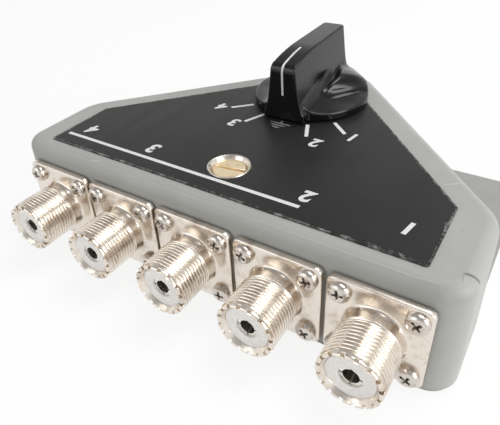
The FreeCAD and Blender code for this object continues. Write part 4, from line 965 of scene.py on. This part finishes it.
def rounded_polygon(corners, radius, steps=5):
    """The corners' outline with each corner rounded."""
    loop = []
    for i, corner in enumerate(corners):
        corner = Vector(corner)
        before = (Vector(corners[i - 1]) - corner).normalized()
        after = (Vector(corners[(i + 1) % len(corners)]) - corner).normalized()
        reach = radius / math.tan(before.angle(after) / 2)
        start, end = corner + before * reach, corner + after * reach
        for k in range(steps + 1):
            t = k / steps
            loop.append(tuple(start * (1 - t) ** 2 + corner * 2 * t * (1 - t) + end * t * t))
    return loop


def ragged(loop):
    """A counter-clockwise outline cut back a little here and there, as by wear along an edge."""
    points = []
    for a, b in zip(loop, loop[1:] + loop[:1]):
        a, b = Vector(a), Vector(b)
        count = max(1, int((b - a).length / EDGE_SPACING))
        inward = Vector((-(b - a).y, (b - a).x)).normalized()
        for i in range(count):
            worn = count > 1 and dice.random() < EDGE_CHANCE
            bite = (EDGE_BITE if worn else EDGE_ROUGHNESS) * dice.random()
            points.append(tuple(a.lerp(b, i / count) + inward * bite))
    return points


def inset_corners(corners, distance):
    """The corners of a counter-clockwise outline, moved inwards by a distance from each edge."""
    moved = []
    count = len(corners)
    for i in range(count):
        before, corner, after = Vector(corners[i - 1]), Vector(corners[i]), Vector(corners[(i + 1) % count])
        a, b = (corner - before).normalized(), (after - corner).normalized()
        inward_a, inward_b = Vector((-a.y, a.x)), Vector((-b.y, b.x))
        inward = (inward_a + inward_b).normalized()
        moved.append(tuple(corner + inward * (distance / inward.dot(inward_a))))
    return moved


def print_edge():
    """The print's worn outline, with a chip in its right edge and a strip worn off its front edge."""
    edge = ragged(rounded_polygon(inset_corners(LABEL_CORNERS, PRINT_INSET), PRINT_CORNER_R))
    chip_start, chip_end = CHIP[0][1], CHIP[-1][1]
    chipped = [i for i, (px, py) in enumerate(edge) if px > CHIP_FROM_X and chip_start < py < chip_end]
    edge[chipped[0]:chipped[-1] + 1] = CHIP
    worn = []
    for px, py in edge:
        if py < FRONT_WEAR_Y:
            depth = FRONT_WEAR_DEPTH * smooth_step(*FRONT_WEAR_X, px)
            py = py + depth * (1 + FRONT_WEAR_SPREAD * dice.random())
        worn.append((px, py))
    return worn


def add_label():
    film = outline_mesh("label_film", [rounded_polygon(LABEL_CORNERS, FILM_CORNER_R)] + label_holes(0.0),
                        LABEL_BOTTOM, LABEL_TOP - FILM_BELOW_PRINT, bevel=0.06)
    add_piece("label_film", film, FILM_EDGE, "case", ["label_plate"])
    print_face = outline_mesh("label_face", [print_edge()] + label_holes(PRINT_HOLE_GAP),
                              LABEL_TOP - PRINT_DEPTH, LABEL_TOP)
    add_piece("label_face", print_face, SLOT_MATERIALS["label"], "case", ["label_plate"])


# Marks printed on the label

MARK_SUNK = 0.02
MARK_THICK = 0.025
TICK_ANGLES = (-46.6, -22.6, 23.4, 47.6)
TICK_START_R = 20.9
TICK_END_R = 28.9
TICK_WIDTH = 1.2
STRIPE = ((-58.6, -60.4), (26.6, -60.2))
STRIPE_WIDTH = 1.25
GROUND_BARS = (((-3.6, -22.6), (3.6, -22.6)), ((-2.5, -24.0), (2.5, -24.0)), ((-1.3, -25.4), (1.3, -25.4)),
               ((0, -20.6), (0, -22.3)))
GROUND_WIDTH = 0.6
DIAL_FIGURES = {"4": (-24.3, -20.9), "3": (-13.8, -29.0), "2": (15.9, -28.9), "1": (24.3, -20.5)}
DIAL_FIGURE_HEIGHT = 4.8
DIAL_FIGURE_BOLD = 0.2
SOCKET_FIGURES = {"4": "port_4", "3": "port_3", "2": "port_2", "1": "port_1"}
SOCKET_FIGURE_Y = -55.2
SOCKET_FIGURE_HEIGHT = 5.0
SOCKET_FIGURE_BOLD = 0.24
FIGURE_SLANT = 0.18
FIGURE_HALF_THICK = 0.0225
FONT_SIZE_PER_HEIGHT = 1.38


def mark_mesh(name, loops):
    return outline_mesh(name, loops, LABEL_TOP - MARK_SUNK, LABEL_TOP + MARK_THICK)


def polar(radius, degrees):
    """A point round the shaft, from the front."""
    angle = math.radians(degrees)
    return Vector((radius * math.sin(angle), -radius * math.cos(angle)))


def strip(start, end, width):
    start, end = Vector(start), Vector(end)
    along = (end - start).normalized()
    side = Vector((-along.y, along.x)) * width / 2
    return [tuple(p) for p in (start - side, end - side, end + side, start + side)]


def figure_mesh(text, x, y, height, bold):
    """A bold figure that reads from the knob's end, centred on (x, y)."""
    curve = bpy.data.curves.new("figure", "FONT")
    curve.body = text
    curve.size = height * FONT_SIZE_PER_HEIGHT * MM
    curve.align_x = "CENTER"
    curve.shear = FIGURE_SLANT
    curve.offset = bold * MM
    curve.extrude = FIGURE_HALF_THICK * MM
    carrier = bpy.data.objects.new("figure", curve)
    mesh = bpy.data.meshes.new_from_object(carrier)
    bpy.data.objects.remove(carrier)
    bpy.data.curves.remove(curve)
    places = np.zeros(len(mesh.vertices) * 3)
    mesh.vertices.foreach_get("co", places)
    places = places.reshape(-1, 3)
    middle = (places.min(0) + places.max(0)) / 2
    to_middle = Matrix.Translation((-middle[0], -middle[1], 0))
    half_turn = Matrix.Rotation(math.pi, 4, "Z")
    mesh.transform(Matrix.Translation((x * MM, y * MM, LABEL_TOP * MM)) @ half_turn @ to_middle)
    return mesh


def add_mark(name, mesh, ink=INK):
    add_piece(name, mesh, ink, "case")


def add_marks():
    ticks = [strip(polar(TICK_START_R, a), polar(TICK_END_R, a), TICK_WIDTH) for a in TICK_ANGLES]
    add_mark("dial_ticks", mark_mesh("dial_ticks", ticks))
    add_mark("front_stripe", mark_mesh("front_stripe", [strip(*STRIPE, STRIPE_WIDTH)]))
    ground = [strip(start, end, GROUND_WIDTH) for start, end in GROUND_BARS]
    add_mark("ground_mark", mark_mesh("ground_mark", ground), WORN_INK)
    for text, (x, y) in DIAL_FIGURES.items():
        add_mark("dial_figure_" + text, figure_mesh(text, x, y, DIAL_FIGURE_HEIGHT, DIAL_FIGURE_BOLD))
    for text, port in SOCKET_FIGURES.items():
        mesh = figure_mesh(text, PORT_XS[port], SOCKET_FIGURE_Y, SOCKET_FIGURE_HEIGHT, SOCKET_FIGURE_BOLD)
        add_mark("socket_figure_" + text, mesh)


add_shells()
add_plug_ring()
add_plug_body()
add_plug_top()
add_knob()
add_knob_line()
add_label()
add_marks()


# Camera, from the photograph's own perspective. Angles are in degrees.

CAMERA_PLACE = Vector((75.36, -156.0, 113.72)) * MM
CAMERA_HEADING = 34.96
CAMERA_PITCH = -33.51
CAMERA_ROLL = -3.41
FOCAL_PX = 522.9
CENTRE_PX = (238.6, 179.9)
FRAME_PX = (500, 425)
SENSOR_WIDTH = 36
CLIP_NEAR_M = 0.01
CLIP_FAR_M = 20

# Lamps: name, place and width in metres, power in watts
LAMP_AIM = Vector((0, -0.03, 0.02))
LAMPS = (("key", (0.25, 0.25, 0.85), 0.5, 4.2),
         ("side", (0.75, -0.10, 0.35), 0.4, 3.4),
         ("fill", (-0.45, -0.75, 0.45), 0.6, 1.5))
WORLD_LIGHT = 0.32
SKY_STOPS = [(0.0, 1.0), (0.30, 1.0), (0.55, 0.5), (1.0, 0.40)]
FLOOR_HALF_M = 3.0
FLOOR_COLOUR = (0.95, 0.95, 0.95, 1)
FLOOR_ROUGHNESS = 0.7
FLOOR_GLOW_SHARE = 0.86


def add_camera():
    data = bpy.data.cameras.new("photo_camera")
    camera = bpy.data.objects.new("photo_camera", data)
    bpy.context.scene.collection.objects.link(camera)
    data.sensor_width = SENSOR_WIDTH
    data.lens = FOCAL_PX / FRAME_PX[0] * data.sensor_width
    data.shift_x = (FRAME_PX[0] / 2 - CENTRE_PX[0]) / FRAME_PX[0]
    data.shift_y = (CENTRE_PX[1] - FRAME_PX[1] / 2) / FRAME_PX[0]
    data.clip_start, data.clip_end = CLIP_NEAR_M, CLIP_FAR_M
    turn = Matrix.Rotation(math.radians(CAMERA_HEADING), 4, "Z")
    tip = Matrix.Rotation(math.radians(90 + CAMERA_PITCH), 4, "X")
    roll = Matrix.Rotation(math.radians(CAMERA_ROLL), 4, "Z")
    camera.matrix_world = Matrix.Translation(CAMERA_PLACE) @ turn @ tip @ roll
    bpy.context.scene.camera = camera


def add_lamp(name, place, width, power):
    """A square lamp that points at the object."""
    data = bpy.data.lights.new(name, "AREA")
    data.shape = "RECTANGLE"
    data.size, data.size_y = width, width
    data.energy = power
    lamp = bpy.data.objects.new(name, data)
    bpy.context.scene.collection.objects.link(lamp)
    lamp.location = Vector(place)
    lamp.rotation_euler = (LAMP_AIM - Vector(place)).to_track_quat("-Z", "Y").to_euler()


def seen_share(tree):
    """1 for rays from the camera, from gloss and through glass."""
    path = add(tree, "ShaderNodeLightPath")
    share = math_node(tree, "MAXIMUM", path.outputs["Is Camera Ray"], path.outputs["Is Glossy Ray"])
    return math_node(tree, "MAXIMUM", share, path.outputs["Is Transmission Ray"])


def mix_shaders(tree, share, first, second):
    node = add(tree, "ShaderNodeMixShader")
    tree.links.new(share, node.inputs[0])
    tree.links.new(first, node.inputs[1])
    tree.links.new(second, node.inputs[2])
    return node.outputs[0]


def add_world():
    """White where it is seen at the horizon, greyer overhead, and a dim light on the object."""
    world = bpy.data.worlds.new("studio")
    bpy.context.scene.world = world
    world.use_nodes = True
    tree = world.node_tree
    dim = tree.nodes["Background"]
    dim.inputs["Color"].default_value = (1, 1, 1, 1)
    dim.inputs["Strength"].default_value = WORLD_LIGHT
    seen = add(tree, "ShaderNodeBackground", Strength=1.0)
    coordinates = add(tree, "ShaderNodeTexCoord")
    split = add(tree, "ShaderNodeSeparateXYZ")
    tree.links.new(coordinates.outputs["Generated"], split.inputs[0])
    tree.links.new(ramp(tree, split.outputs["Z"], SKY_STOPS), seen.inputs["Color"])
    out = mix_shaders(tree, seen_share(tree), dim.outputs[0], seen.outputs[0])
    tree.links.new(out, tree.nodes["World Output"].inputs["Surface"])


def add_floor():
    """A white floor that keeps the object's shadow."""
    mesh = bpy.data.meshes.new("floor")
    half, z = FLOOR_HALF_M, cad_low.z
    mesh.from_pydata([(-half, -half, z), (half, -half, z), (half, half, z), (-half, half, z)], [],
                     [(0, 1, 2, 3)])
    floor = bpy.data.objects.new("floor", mesh)
    bpy.context.scene.collection.objects.link(floor)
    material, tree, shader = new_material("floor_white")
    shader.inputs["Base Color"].default_value = FLOOR_COLOUR
    shader.inputs["Roughness"].default_value = FLOOR_ROUGHNESS
    glow = add(tree, "ShaderNodeEmission", Strength=1.0)
    share = math_node(tree, "MULTIPLY", seen_share(tree), FLOOR_GLOW_SHARE)
    out = mix_shaders(tree, share, shader.outputs[0], glow.outputs[0])
    tree.links.new(out, tree.nodes["Material Output"].inputs["Surface"])
    mesh.materials.append(material)


add_camera()
add_world()
add_floor()
for lamp_name, lamp_place, lamp_width, lamp_power in LAMPS:
    add_lamp(lamp_name, lamp_place, lamp_width, lamp_power)

bpy.context.scene.view_settings.view_transform = "Standard"
